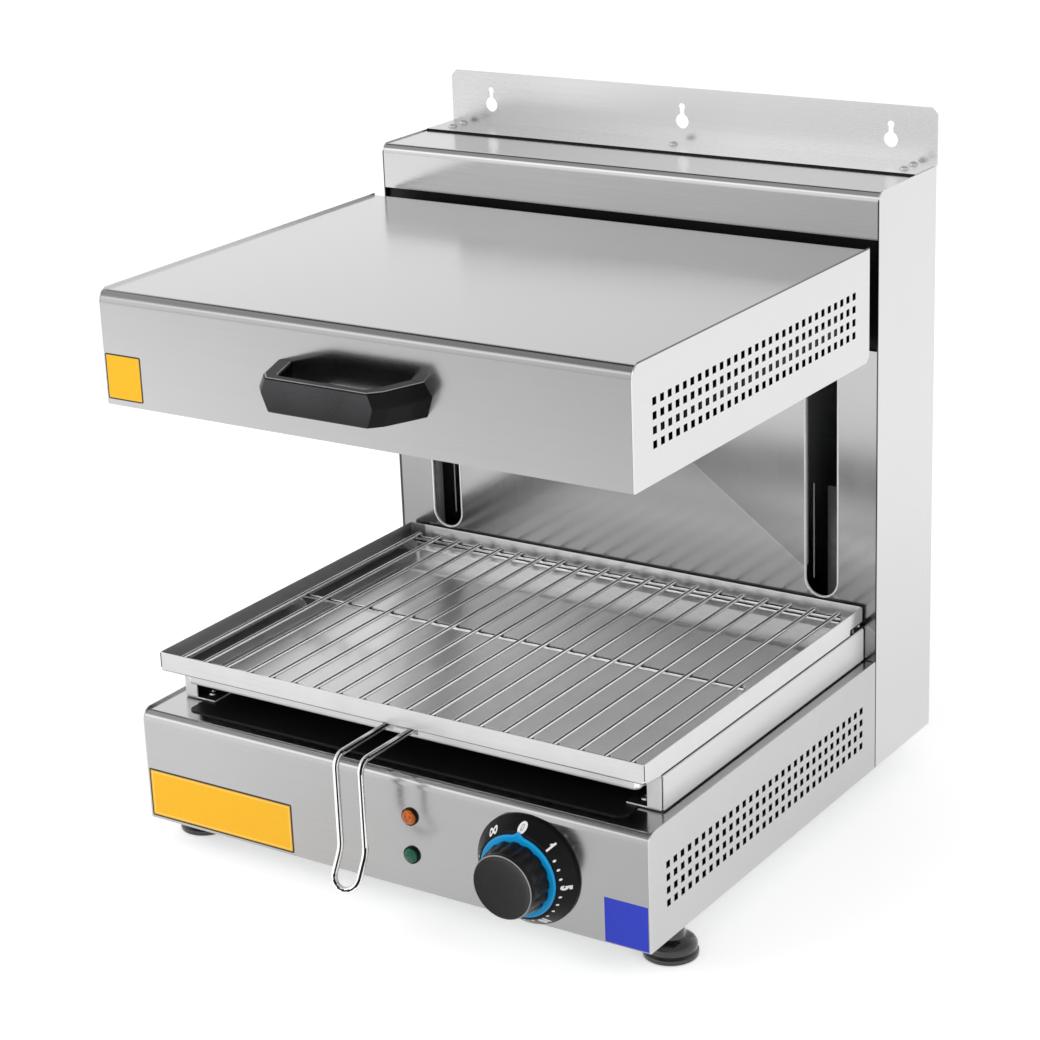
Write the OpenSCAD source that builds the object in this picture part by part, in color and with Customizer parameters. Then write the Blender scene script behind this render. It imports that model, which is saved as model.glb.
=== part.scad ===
// Rise-and-fall cheese melter. Millimetres, +Z up, the front faces -Y and the width runs along X.
// The origin is on the floor, under the middle of the object's box.

/* [Body] */
// Width over the side panels
body_w = 450; // [380:1:560]
// Front of the base to the front of the column
base_d = 346.5; // [320:0.5:420]
// Height of the base from its bottom edge to the deck
base_h = 89; // [80:1:120]
// Depth of the column
column_d = 98.5; // [95:0.5:130]
// Height of the column above the bottom edge
column_h = 461; // [450:1:560]
// Thickness of the sheet steel
sheet = 1.2; // [0.8:0.1:2]
// Outer bend radius of the base's front edge
base_bend = 7.5; // [4:0.5:12]
// Outer bend radius of the column's top edge
column_bend = 7; // [4:0.5:12]
// How far a side panel stands above the sheet beside it
proud = 1.8; // [0.5:0.1:3]
// Seam between the base's sides and the column's sides
seam = 0.9; // [0.4:0.1:2]
// Inward lip along the lower edge of the front panel
return_lip = 14; // [8:1:20]

/* [Side perforation] */
// Width of a square vent hole
perf_w = 5.2; // [3:0.1:7]
// Distance between vent holes
perf_pitch = 9.86; // [8:0.02:14]
// Rows of vent holes
perf_rows = 4; // [2:1:5]
// Least distance from the last column of holes to the rear edge
perf_rear = 20; // [12:0.5:60]
// Front edge of the base to the first column of holes
perf_base_y = 25.4; // [20:0.1:30]
// Front edge of the hood to the first column of holes
perf_hood_y = 27; // [20:0.5:30]
// Lower edge of the base to the lowest row
perf_base_z = 28.6; // [20:0.1:40]
// Lower edge of the hood to the lowest row
perf_hood_z = 26.4; // [16:0.1:36]

/* [Feet] */
// Height of the bottom edge above the floor
foot_h = 25; // [20:0.5:35]
// Radius of a foot's disc
foot_r = 20.3; // [14:0.1:24]
// Thickness of the disc
foot_t = 4.5; // [3:0.5:6]
// Radius of the bell over the disc
bell_r = 15; // [12:0.5:18]
// Radius of the neck under the panel
neck_r = 9.5; // [7:0.5:11]
// Radius of the stud
stud_r = 4; // [3:0.5:5]
// Length of the stud above the bottom edge
stud_l = 16; // [12:1:24]
// Front feet inward of the side panels
foot_front_in = 13; // [11:1:55]
// Rear feet inward of the side panels
foot_rear_in = 85; // [80:1:125]
// Front feet behind the front face
foot_front_y = 48; // [30:1:70]
// Rear feet ahead of the column's back
foot_rear_inset = 36; // [30:1:60]
// Across the flats of a foot's nut
nut_w = 13; // [11:1:17]
// Height of a foot's nut
nut_h = 6.5; // [4:0.5:8]

/* [Hood] */
// How far the hood's front stands ahead of the base's front
hood_over = 6.5; // [2:0.5:12]
// Height of the hood from its lower edge to the top sheet
hood_h = 85; // [78:1:110]
// Gap between the hood and the column
hood_gap = 15; // [12:0.5:25]
// Top of the raised hood below the column's top
hood_down = 39; // [30:0.5:60]
// Lower edge of the lowered hood above the bottom edge
hood_low_z = 167; // [167:1:240]
// Outer bend radius of the hood's front edge
hood_bend = 9; // [5:0.5:14]
// Width of the inward lips along the lower edges
hood_lip = 10; // [6:1:14]
// Chamfer at the rear lower corner of a side
hood_chamfer = 4; // [1:0.5:8]

/* [Heating] */
// Height of the space between the reflector and the hood's top
heater_room = 45; // [35:1:50]
// Thickness of the reflector
reflector_t = 0.8; // [0.6:0.1:1.5]
// Radius of a heating tube
tube_r = 4.2; // [3:0.1:5]
// Radius of a heating tube's bend
tube_bend = 21; // [14:1:24]
// Distance between heating tubes' centres
tube_pitch = 88; // [70:1:92]
// Height of the tubes above the hood's lower edge
tube_z = 16; // [12:1:22]
// Straight end of a tube's bend short of the side
tube_end = 42; // [36:1:80]
// Thickness of a tube hanger
hanger_t = 1.5; // [1:0.5:3]
// Side place of the tube hangers
hanger_x = 110; // [60:1:130]

/* [Hood handle] */
// Length of the handle over its ends
grip_w = 145; // [110:1:180]
// Length of the straight front face
grip_face_w = 89; // [60:1:100]
// How far the handle stands out
grip_out = 40; // [32:1:50]
// Depth of the straight part of its ends
grip_end_d = 13; // [8:1:18]
// Height of the handle
grip_h = 25; // [18:1:32]
// Thickness of the bar
grip_t = 13; // [9:1:16]
// Width of each leg
grip_leg = 17; // [12:1:22]
// Lower edge of the handle above the hood's lower edge
grip_z = 29.5; // [20:0.5:40]

/* [Column] */
// Middle of a slot inward of the side panel
slot_in = 48; // [45:1:75]
// Width of a slot
slot_w = 28; // [24:1:32]
// Bottom of the slots above the bottom edge
slot_bottom = 136; // [125:1:150]
// Height of the window
window_h = 85; // [80:0.5:95]
// Upper edge of the window below the column's top
window_down = 35.5; // [31:0.5:41]
// How far the front panel sits behind the column's front
panel_set = 1; // [0.5:0.1:2]

/* [Wall bracket] */
// Height of the bracket's plate
bracket_h = 43; // [35:1:60]
// Depth of the bracket's foot
bracket_d = 41; // [30:1:60]
// Thickness of the bracket
bracket_t = 1.5; // [1:0.1:3]
// How far the plate stands behind the column
bracket_back = 5; // [3:0.5:8]
// How far its ends stop short of the side panels
bracket_in = 1.3; // [0:0.1:5]
// Clipped corner of the plate
bracket_clip = 5; // [2:0.5:10]
// Outer keyholes inward of the side panels
key_in = 40.5; // [25:0.5:105]
// Height of the large hole's centre above the foot
key_z = 15.8; // [12:0.1:20]
// Radius of the large hole
key_r = 6; // [4:0.5:7]
// Radius of the small hole
key_small_r = 2.9; // [2:0.1:3.5]
// Distance between the two centres
key_rise = 11.7; // [9:0.1:14]
// Width of the neck
key_neck = 4.2; // [3:0.1:5]

/* [Runners] */
// Height of a runner above the deck
runner_h = 27.7; // [22:0.1:36]
// Width of a runner's front
runner_w = 13; // [10:0.5:16]
// Outer face of a runner inward of the side panel
runner_in = 10.6; // [9:0.1:35]
// Front of a runner behind the base's front
runner_y = 38; // [25:1:60]
// Inner edge of a runner's foot from its outer face
runner_foot = 30; // [26:1:36]
// Running gap under the tray
slide_gap = 0.3; // [0.2:0.05:0.6]
// Thickness of the black deck plate
liner_t = 1; // [0.5:0.1:2]
// Front of the deck plate behind the base's front
liner_y = 17; // [12:0.5:24]
// Gap between the deck plate and the column
liner_gap = 0.5; // [0.2:0.1:2]

/* [Tray] */
// Sides of the tray inward of the side panels
tray_in = 10.5; // [9:0.1:35]
// Front of the tray behind the base's front
tray_y = 14; // [8:0.5:24]
// Gap between the tray and the column
tray_gap = 2; // [1.5:0.1:6]
// Height of the tray's rim
rim_h = 18; // [12:0.5:24]
// Width of the ledge inside the rim
ledge_w = 13; // [8:0.5:16]
// Depth of the pan under the ledge
pan_h = 10; // [6:0.5:16]
// Thickness of the tray's sheet
tray_t = 1; // [0.8:0.1:1.5]
// Depth of the raised strip at the rear of the pan
pan_step_d = 24; // [14:1:40]
// Height of that strip
pan_step_h = 1.5; // [0.5:0.1:3]
// How far the tray slides out
tray_travel = 240; // [100:5:280]
// Length of the cut in the rim's rear lower corners
corner_cut_d = 22; // [10:1:30]
// Height of that cut
corner_cut_h = 4.5; // [2:0.5:7]

/* [Grate] */
// Number of bars
bar_n = 20; // [10:1:22]
// Outer bars inward of the tray's sides
bar_in = 15.95; // [14:0.05:24]
// Radius of a bar
bar_r = 1.6; // [1:0.1:2.5]
// Radius of a cross wire
cross_r = 2; // [1.5:0.1:3]
// Centre of the cross wires above the rim's lower edge
cross_z = 10; // [8:0.5:12]
// Drop of the bars' rear ends
bar_drop = 9; // [7:0.5:10]
// Front end of the bars behind the tray's front
bar_front = 3.4; // [3:0.1:8]
// Rear end of the bars ahead of the tray's back
bar_rear = 7; // [5:0.5:12]
// Front cross wire behind the tray's front
cross_front = 12; // [8:1:20]
// Middle cross wire behind the tray's front
cross_mid = 163; // [120:1:200]
// Length of the cross wires past the outer bars
cross_past = 4; // [2:0.5:6]
// Width of a support tab
tab_w = 6; // [4:0.5:10]

/* [Tray handle] */
// Radius of the handle's wire
wire_r = 2.4; // [1.5:0.1:3]
// Distance between the two wires
wire_pitch = 22; // [16:1:30]
// Bend where the wires turn down
wire_bend = 9; // [6:0.5:12]
// Down-going wires ahead of the base's front
wire_out = 37; // [30:1:45]
// Height of the level wires below the rim's lower edge
wire_down = 4; // [3:0.5:6]
// Lower end of the upright wires above the bottom edge
wire_low = 47; // [40:1:60]
// Angle of the flared end
wire_flare = 29; // [10:1:40]
// Length of the flared straight
wire_tip = 13; // [6:1:20]

/* [Controls] */
// Timer inward of the right side panel
timer_in = 98.5; // [75:0.1:115]
// Height of the timer above the bottom edge
timer_z = 42.3; // [42.1:0.1:46]
// Radius of the dial's rim
dial_r = 42; // [36:0.5:42]
// Thickness of the dial's rim
dial_rim_t = 3; // [1:0.5:5]
// Radius of the dial's flat front, inside the numbered cone
dial_face_r = 33.5; // [30:0.5:35]
// Depth of the dial
dial_t = 13.5; // [8:0.5:16]
// Radius of the pointer ring
ring_r = 31.7; // [27:0.1:33]
// Gap between the dial and the pointer ring
ring_gap = 0.5; // [0.3:0.1:1]
// Thickness of the pointer ring
ring_t = 1.8; // [1:0.1:4]
// How far the pointer's tip stands out from the ring
tip_out = 4; // [2:0.5:6]
// Radius of the knob's cap
cap_r = 24.6; // [18:0.1:26]
// Front of the cap ahead of the panel
cap_out = 35; // [30:0.5:42]
// Thickness of the cap
cap_t = 4.5; // [3:0.5:6]
// Radius of the fluted grip behind the cap
knob_grip_r = 25.6; // [22:0.1:28]
// Radius of the knob's neck inside the pointer ring
neck_knob_r = 20; // [14:0.5:22]
// Flutes around the grip
flute_n = 16; // [8:1:20]
// Radius of a flute
flute_r = 3; // [2:0.1:4]
// Depth of a flute
flute_depth = 1.4; // [0.6:0.1:2]
// Radius of the timer's shaft
shaft_r = 3; // [2:0.5:4]
// Width of the timer's case
timer_w = 44; // [36:1:60]
// Depth of the timer's case
timer_d = 34; // [24:1:50]
// Lamps to the left of the timer
lamp_left = 101.7; // [70:0.1:121]
// Height of the upper lamp
lamp_high = 58.3; // [50:0.1:66]
// Height of the lower lamp
lamp_low = 27.8; // [20:0.1:36]
// Radius of a lamp's bezel
lamp_r = 6.8; // [5:0.1:9]
// Radius of a lamp's body
lamp_body_r = 5; // [4:0.1:7]
// Depth of a lamp's body behind the panel
lamp_d = 24; // [15:1:35]

/* [Lift] */
// Radius of a guide rod
rod_r = 7; // [5:0.5:9]
// Gap between the counterweight and the back cover
weight_gap = 4.8; // [2:0.1:6]
// Width of a slide block
block_w = 29; // [24:1:30]
// Height of a slide block
block_h = 58; // [40:1:60]
// Thickness of an arm
arm_t = 8; // [5:0.5:12]
// Height of an arm
arm_h = 54; // [30:1:58]
// Lower edge of the arms above the hood's lower edge
arm_z = 15; // [12:1:20]
// Thickness of the cross beam
beam_t = 8; // [5:0.5:10]
// Height of the cross beam
beam_h = 32; // [20:1:40]
// Effective radius of a pulley
pulley_r = 17; // [14:0.5:20]
// Width of a pulley
pulley_w = 8; // [6:0.5:12]
// Distance of a pulley from the middle
pulley_x = 60; // [40:1:80]
// Radius of the pulley axle
axle_r = 4; // [3:0.5:5]
// Radius of the cable
cable_r = 1; // [0.8:0.1:1.5]
// Width of the counterweight
weight_w = 200; // [120:1:220]
// Thickness of the counterweight
weight_d = 26; // [15:0.5:26]
// Height of the counterweight
weight_h = 165; // [100:1:170]
// Lower face of the counterweight with the hood raised
weight_z = 24; // [20:1:40]

/* [Hidden] */
$fn = 64;

// overrun of every cut, and small fits
over = 1;
run_fit = 0.05;
seat_fit = 0.05;
clear = 0.3;
hole_fit = 0.4;

// derived places, measured from the base's front bottom edge
half_in = body_w / 2 - sheet;
column_back_y = base_d + column_d;
hood_y = -hood_over;
hood_d = base_d - hood_gap + hood_over;
hood_top = column_h - hood_down;
hood_rest_z = hood_top - hood_h;
hood_travel = hood_rest_z - hood_low_z;
reflector_h = hood_h - heater_room;
window_high = column_h - window_down;
window_low = window_high - window_h;
slot_x = body_w / 2 - slot_in;
key_x = body_w / 2 - key_in;
runner_x = body_w / 2 - runner_in;
tray_w = body_w - 2 * tray_in;
timer_x = body_w / 2 - timer_in;
lamp_x = timer_x - lamp_left;
foot_front_x = body_w / 2 - foot_front_in;
foot_rear_x = body_w / 2 - foot_rear_in;
perf_base_n = floor((base_d - perf_base_y - perf_rear) / perf_pitch) + 1;
perf_hood_n = floor((hood_d - perf_hood_y - perf_rear) / perf_pitch) + 1;
tray_z = base_h + runner_h + slide_gap;
tray_d = base_d - tray_gap - tray_y;
pan_z = tray_z - pan_h;
weight_y = column_back_y - sheet - weight_gap - weight_d / 2;
pulley_y = weight_y - pulley_r;
rod_at = pulley_y - pulley_r;
pulley_room = 3;
pulley_flange = 2;
bracket_plate_t = 3;
wire_bend_low = 20;
pulley_z = column_h - sheet - bracket_plate_t - pulley_room - pulley_r - pulley_flange;
wire_front = wire_out + wire_bend_low * (1 - cos(wire_flare)) + wire_tip * sin(wire_flare)
    + wire_pitch / 2 * sin(wire_flare);
wire_far = wire_front + wire_r;
bracket_y = column_back_y + bracket_back;
y_shift = (wire_far - bracket_y) / 2;

steel = "silver";
bright = "gainsboro";
black = "dimgray";

// shapes

module place() translate([0, y_shift, foot_h]) children();
module yz(x0, w) translate([x0, 0, 0]) rotate([90, 0, 90]) linear_extrude(w) children();
module xz(y0, d) translate([0, y0 + d, 0]) rotate([90, 0, 0]) linear_extrude(d) children();
module xy(z0, h) translate([0, 0, z0]) linear_extrude(h) children();
module rod_x(p, l, r) translate(p) rotate([0, 90, 0]) cylinder(h = l, r = r);
module rod_y(p, l, r) translate(p) rotate([-90, 0, 0]) cylinder(h = l, r = r);
module rod_z(p, l, r) translate(p) cylinder(h = l, r = r);
module block(x0, x1, y0, y1, z0, z1) translate([x0, y0, z0]) cube([x1 - x0, y1 - y0, z1 - z0]);
module both() {
    children();
    mirror([1, 0, 0]) children();
}
// rectangle with its upper corner at x = 0 rounded
module corner_plate(w, h, r) {
    difference() {
        square([w, h]);
        translate([0, h - r]) square([r, r]);
    }
    translate([r, h - r]) circle(r);
}
// front and top of a bent sheet, seen from the side
module bent_sheet(w, h, r, t) {
    difference() {
        corner_plate(w, h, r);
        translate([t, -over]) corner_plate(w + over, h - t + over, r - t);
    }
}
module vents(n, y0, z0) {
    for (i = [0 : n - 1], j = [0 : perf_rows - 1])
        translate([y0 + i * perf_pitch - perf_w / 2, z0 + j * perf_pitch - perf_w / 2])
            square(perf_w);
}
module hex_2d(w) circle(r = w / sqrt(3), $fn = 6);

// base

gap_at_bend = 2;
vent_slot_w = 4;
vent_slot_l = 60;
vent_slot_n = 9;
vent_slot_pitch = 14;
vent_slot_y = 120;
bottom_y = 3;

module base_shell() color(steel) place() {
    difference() {
        union() {
            yz(-half_in, 2 * half_in) bent_sheet(base_d, base_h, base_bend, sheet);
            block(-half_in, half_in, sheet, return_lip, 0, sheet);
        }
        for (z = [lamp_low, lamp_high])
            rod_y([lamp_x, -over, z], sheet + 2 * over, lamp_body_r + hole_fit);
        rod_y([timer_x, -over, timer_z], sheet + 2 * over, timer_bush_r + hole_fit);
        both() for (y = [runner_screw_y, runner_screw_far])
            rod_z([runner_screw_x, y, base_h - sheet - over], sheet + 2 * over, screw_r + hole_fit);
    }
}

module base_side() place() yz(half_in, sheet) difference() {
    corner_plate(base_d - seam, base_h + proud, base_bend + proud);
    vents(perf_base_n, perf_base_y, perf_base_z);
}
module base_side_right() color(bright) base_side();
module base_side_left() color(bright) mirror([1, 0, 0]) base_side();

module foot_at() {
    for (s = [-1, 1]) {
        translate([s * foot_front_x, foot_front_y, 0]) children();
        translate([s * foot_rear_x, column_back_y - foot_rear_inset, 0]) children();
    }
}

module base_bottom() color(steel) place() difference() {
    block(-half_in, half_in, bottom_y, column_back_y - sheet, sheet, 2 * sheet);
    foot_at() rod_z([0, 0, -over], 2 * sheet + 2 * over, stud_r + hole_fit);
    for (i = [0 : vent_slot_n - 1])
        block(-vent_slot_l / 2, vent_slot_l / 2, vent_slot_y + i * vent_slot_pitch,
            vent_slot_y + i * vent_slot_pitch + vent_slot_w, -over, 2 * sheet + over);
}

runner_foot_in = runner_x - runner_foot;
liner_side = 4.5;
liner_x = runner_x - runner_w - 2 * sheet - liner_side;
liner_r = 7;
module deck_plate() color(black) place() difference() {
    union() {
        block(-liner_x, liner_x, liner_y + liner_r, base_d - liner_gap, base_h,
            base_h + liner_t);
        block(-liner_x + liner_r, liner_x - liner_r, liner_y, liner_y + 2 * liner_r, base_h,
            base_h + liner_t);
        both() rod_z([liner_x - liner_r, liner_y + liner_r, base_h], liner_t, liner_r);
    }
    both() for (y = [runner_screw_y, runner_screw_far])
        rod_z([runner_screw_x, y, base_h - over], liner_t + 2 * over, screw_r + hole_fit);
}

runner_back = base_d - liner_gap;
screw_r = 2;
screw_head_r = 3.6;
screw_head_t = 2;
runner_screw_in = 20;
runner_screw_x = runner_x - runner_screw_in;
runner_screw_y = runner_y + runner_screw_in / 2;
runner_screw_far = runner_back - runner_screw_in;
runner_foot_z = base_h + liner_t;

module runner() place() difference() {
    union() {
        block(runner_x - sheet, runner_x, runner_y, runner_back, base_h, base_h + runner_h);
        block(runner_x - runner_w, runner_x, runner_y, runner_y + sheet, base_h,
            base_h + runner_h);
        block(runner_x - runner_w, runner_x, runner_y, runner_back,
            base_h + runner_h - sheet, base_h + runner_h);
        block(runner_foot_in, runner_x, runner_y, runner_back, runner_foot_z,
            runner_foot_z + sheet);
    }
    for (y = [runner_screw_y, runner_screw_far])
        rod_z([runner_screw_x, y, base_h - over], liner_t + sheet + 2 * over, screw_r + hole_fit);
}
module runner_right() color(bright) runner();
module runner_left() color(bright) mirror([1, 0, 0]) runner();

// column

module column_side() place() yz(half_in, sheet) translate([base_d, 0])
    corner_plate(column_d, column_h + proud / 2, column_bend + proud / 2);
module column_side_right() color(bright) column_side();
module column_side_left() color(bright) mirror([1, 0, 0]) column_side();

panel_y = base_d + panel_set;
module slot_2d() {
    translate([slot_x, slot_bottom + slot_w / 2]) circle(r = slot_w / 2);
    translate([slot_x - slot_w / 2, slot_bottom + slot_w / 2])
        square([slot_w, window_low - slot_bottom]);
}
module column_front() color(steel) place() xz(panel_y, sheet) difference() {
    translate([-half_in, 2 * sheet]) square([2 * half_in, window_low - 2 * sheet]);
    both() slot_2d();
}

module column_top() color(steel) place() difference() {
    yz(-half_in, 2 * half_in) translate([base_d, window_high])
        bent_sheet(column_d - sheet, column_h - window_high, column_bend, sheet);
    bracket_screw_at() rod_z([0, 0, -bracket_t - sheet - over], bracket_t + sheet + 2 * over,
        screw_r + hole_fit);
}

back_vent_n = 8;
back_vent_down = 161;
back_vent_z = column_h - back_vent_down;
back_vent_pitch = 12;
back_vent_l = 120;
cord_in = 75;
cord_x = cord_in - body_w / 2;
cord_z = 45;
grommet_r = 9;
grommet_lip = 2;
grommet_bore = 4.5;
grommet_t = 1.6;
module column_back() color(steel) place() xz(column_back_y - sheet, sheet) difference() {
    translate([-half_in, 0]) square([2 * half_in, column_h]);
    translate([cord_x, cord_z]) circle(grommet_r - grommet_lip);
    for (i = [0 : back_vent_n - 1])
        translate([-back_vent_l / 2, back_vent_z + i * back_vent_pitch])
            square([back_vent_l, vent_slot_w]);
}

module cord_grommet() color(black) place() difference() {
    union() {
        rod_y([cord_x, column_back_y - sheet - grommet_t, cord_z], grommet_t, grommet_r);
        rod_y([cord_x, column_back_y, cord_z], grommet_t, grommet_r);
        rod_y([cord_x, column_back_y - sheet - grommet_t, cord_z], sheet + 2 * grommet_t,
            grommet_r - grommet_lip - seat_fit);
    }
    rod_y([cord_x, column_back_y - sheet - grommet_t - over, cord_z],
        sheet + 2 * grommet_t + 2 * over, grommet_bore);
}

bracket_z = column_h;
bracket_x = body_w / 2 - bracket_in;
bracket_screw_in = 16;
bracket_screw_edge = 10;
bracket_screw_mid = 26;
module key_2d() {
    circle(key_r);
    translate([0, key_rise]) circle(key_small_r);
    translate([-key_neck / 2, 0]) square([key_neck, key_rise]);
}
module bracket_screw_at()
    for (p = [[-1, bracket_screw_mid], [-1, bracket_screw_edge], [0, bracket_screw_in],
            [1, bracket_screw_mid], [1, bracket_screw_edge]])
        translate([p[0] * (bracket_x - bracket_screw_in), bracket_y - p[1],
            bracket_z + bracket_t]) children();
module wall_bracket() color(bright) place() {
    difference() {
        block(-bracket_x, bracket_x, bracket_y - bracket_d, bracket_y, bracket_z,
            bracket_z + bracket_t);
        bracket_screw_at() rod_z([0, 0, -bracket_t - over], bracket_t + 2 * over,
            screw_r + hole_fit);
    }
    xz(bracket_y - bracket_t, bracket_t) difference() {
        translate([-bracket_x, bracket_z])
            square([2 * bracket_x, bracket_h + bracket_t]);
        for (s = [-1, 0, 1])
            translate([s * key_x, bracket_z + bracket_t + key_z]) key_2d();
        for (s = [-1, 1])
            translate([s * bracket_x, bracket_z + bracket_h + bracket_t]) rotate(45)
                square(bracket_clip * sqrt(2), center = true);
    }
}
module screw_head(p) {
    rod_z(p, screw_head_t, screw_head_r);
    rod_z([p[0], p[1], p[2] - screw_l], screw_l, screw_r);
}
screw_l = 6;
module screws() color(steel) place() {
    bracket_screw_at() screw_head([0, 0, 0]);
    both() for (y = [runner_screw_y, runner_screw_far])
        screw_head([runner_screw_x, y, runner_foot_z + sheet]);
}

// lift

block_z = hood_rest_z + arm_z - (block_h - arm_h) / 2;
rod_low = 2 * sheet;
rod_high = column_h - sheet;
holder_h = 16;
holder_w = 34;
module guide_rods() color(bright) place() both()
    rod_z([slot_x, rod_at, rod_low], rod_high - rod_low, rod_r);

module rod_holder(z) difference() {
    block(slot_x - holder_w / 2, slot_x + holder_w / 2, rod_at - holder_w / 2,
        rod_at + holder_w / 2, z, z + holder_h);
    rod_z([slot_x, rod_at, z - over], holder_h + 2 * over, rod_r + seat_fit);
}
module rod_holders() color(steel) place() both() {
    rod_holder(rod_low);
    rod_holder(rod_high - holder_h);
}

collar_h = 8;
collar_r = 12;
module stop_collars() color(black) place() both()
    for (z = [block_z - hood_travel - clear - collar_h, block_z + block_h + clear])
        difference() {
            rod_z([slot_x, rod_at, z], collar_h, collar_r);
            rod_z([slot_x, rod_at, z - over], collar_h + 2 * over, rod_r + seat_fit);
        }

module slide_blocks() color(steel) place() both() difference() {
    block(slot_x - block_w / 2, slot_x + block_w / 2, rod_at - block_w / 2,
        rod_at + block_w / 2, block_z, block_z + block_h);
    rod_z([slot_x, rod_at, block_z - over], block_h + 2 * over, rod_r + run_fit);
}
module lift_arms() color(steel) place() both()
    block(slot_x - arm_t / 2, slot_x + arm_t / 2, base_d - hood_gap, rod_at - block_w / 2,
        hood_rest_z + arm_z, hood_rest_z + arm_z + arm_h);

beam_z = hood_rest_z + arm_z + (arm_h - beam_h) / 2;
beam_x = slot_x - block_w / 2;
module cross_beam() color(steel) place()
    block(-beam_x, beam_x, rod_at - beam_t / 2, rod_at + beam_t / 2, beam_z, beam_z + beam_h);

shield_gap = 1.6;
shield_side = 2;
shield_y = panel_y + sheet + shield_gap;
shield_low = 2;
module window_shield() color(black) place() xz(shield_y, sheet) difference() {
    translate([-half_in + shield_side, window_low - shield_low])
        square([2 * (half_in - shield_side), window_high - window_low + shield_low]);
    both() translate([slot_x - arm_t / 2 - seat_fit, hood_rest_z + arm_z - seat_fit])
        square([arm_t + 2 * seat_fit, arm_h + 2 * seat_fit]);
}

cheek_t = 3;
cheek_gap = 1;
cheek_w = 20;
cheek_x = pulley_w / 2 + cheek_gap;
module pulley_bracket() color(steel) place() difference() {
    union() {
        block(-pulley_x - cheek_x - cheek_t, pulley_x + cheek_x + cheek_t,
            pulley_y - cheek_w / 2, pulley_y + cheek_w / 2, rod_high - bracket_plate_t, rod_high);
        both() for (x = [pulley_x - cheek_x - cheek_t, pulley_x + cheek_x])
            block(x, x + cheek_t, pulley_y - cheek_w / 2, pulley_y + cheek_w / 2,
                pulley_z - cheek_w / 2, rod_high);
    }
    rod_x([-body_w / 2, pulley_y, pulley_z], body_w, axle_r + seat_fit);
}
axle_past = 3;
axle_l = pulley_x + cheek_x + cheek_t + axle_past;
module pulley_axle() color(bright) place() rod_x([-axle_l, pulley_y, pulley_z], 2 * axle_l, axle_r);

groove_r = pulley_r - cable_r - clear;
flange_r = pulley_r + pulley_flange;
groove_w = cable_r + clear;
module pulley() place() translate([pulley_x, pulley_y, pulley_z]) rotate([0, 90, 0])
    rotate_extrude() polygon([[axle_r + run_fit, -pulley_w / 2], [flange_r, -pulley_w / 2],
        [flange_r, -groove_w - clear], [groove_r, -groove_w], [groove_r, groove_w],
        [flange_r, groove_w + clear], [flange_r, pulley_w / 2],
        [axle_r + run_fit, pulley_w / 2]]);
module pulley_right() color("goldenrod") pulley();
module pulley_left() color("goldenrod") mirror([1, 0, 0]) pulley();

module cable_arcs() color(black) place() both()
    translate([pulley_x, pulley_y, pulley_z]) rotate([90, 0, 90])
        rotate_extrude(angle = 180) translate([pulley_r, 0]) circle(cable_r);
module cables_hood() color(black) place() both()
    rod_z([pulley_x, rod_at, beam_z + beam_h], pulley_z - beam_z - beam_h, cable_r);
module cables_weight() color(black) place() both()
    rod_z([pulley_x, weight_y, weight_z + weight_h], pulley_z - weight_z - weight_h, cable_r);

module counterweight() color(black) place()
    block(-weight_w / 2, weight_w / 2, weight_y - weight_d / 2, weight_y + weight_d / 2,
        weight_z, weight_z + weight_h);
guide_gap = 0.5;
guide_w = 10;
guide_t = 2;
guide_low = stud_l + guide_gap;
guide_top = weight_z + weight_h + hood_travel + guide_t;
module weight_guides() color(steel) place() both() {
    block(weight_w / 2 + guide_gap, weight_w / 2 + guide_gap + guide_t,
        weight_y - weight_d / 2 - guide_gap - guide_t, column_back_y - sheet, guide_low, guide_top);
    block(weight_w / 2 + guide_gap - guide_w, weight_w / 2 + guide_gap + guide_t,
        weight_y - weight_d / 2 - guide_gap - guide_t, weight_y - weight_d / 2 - guide_gap,
        guide_low, guide_top);
}

// controls

timer_bush_r = 5;
timer_bush_l = 2;
shaft_fit = run_fit;
shaft_back = 20;
module timer_case() color(black) place() difference() {
    union() {
        block(timer_x - timer_w / 2, timer_x + timer_w / 2, sheet, sheet + timer_d,
            timer_z - timer_w / 2 + timer_low, timer_z + timer_w / 2 - timer_low);
        rod_y([timer_x, 0, timer_z], sheet + timer_bush_l, timer_bush_r);
    }
    rod_y([timer_x, -over, timer_z], shaft_back + over, shaft_r + shaft_fit);
}
timer_low = 2;

module dial() color(black) place() difference() {
    union() {
        rod_y([timer_x, -dial_rim_t, timer_z], dial_rim_t, dial_r);
        translate([timer_x, -dial_t, timer_z]) rotate([-90, 0, 0])
            cylinder(h = dial_t - dial_rim_t, r1 = dial_face_r, r2 = dial_r);
    }
    rod_y([timer_x, -dial_t - over, timer_z], dial_t + 2 * over, shaft_r + hole_fit);
}
ring_back = dial_t + ring_gap;
ring_out = ring_back + ring_t;
bore_end = 14;
module knob_2d() difference() {
    circle(knob_grip_r);
    for (i = [0 : flute_n - 1])
        rotate((i + 1 / 2) * 360 / flute_n) translate([knob_grip_r - flute_depth + flute_r, 0])
            circle(flute_r);
}
module knob_cap() color(black) place() difference() {
    union() {
        rod_y([timer_x, -cap_out, timer_z], cap_t, cap_r);
        translate([timer_x, -cap_out + cap_t, timer_z]) rotate([-90, 0, 0])
            linear_extrude(cap_out - cap_t - ring_out) knob_2d();
        rod_y([timer_x, -ring_out, timer_z], ring_t, neck_knob_r);
    }
    rod_y([timer_x, -shaft_front, timer_z], shaft_front, shaft_r + seat_fit);
}
shaft_front = cap_out - bore_end;
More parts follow.
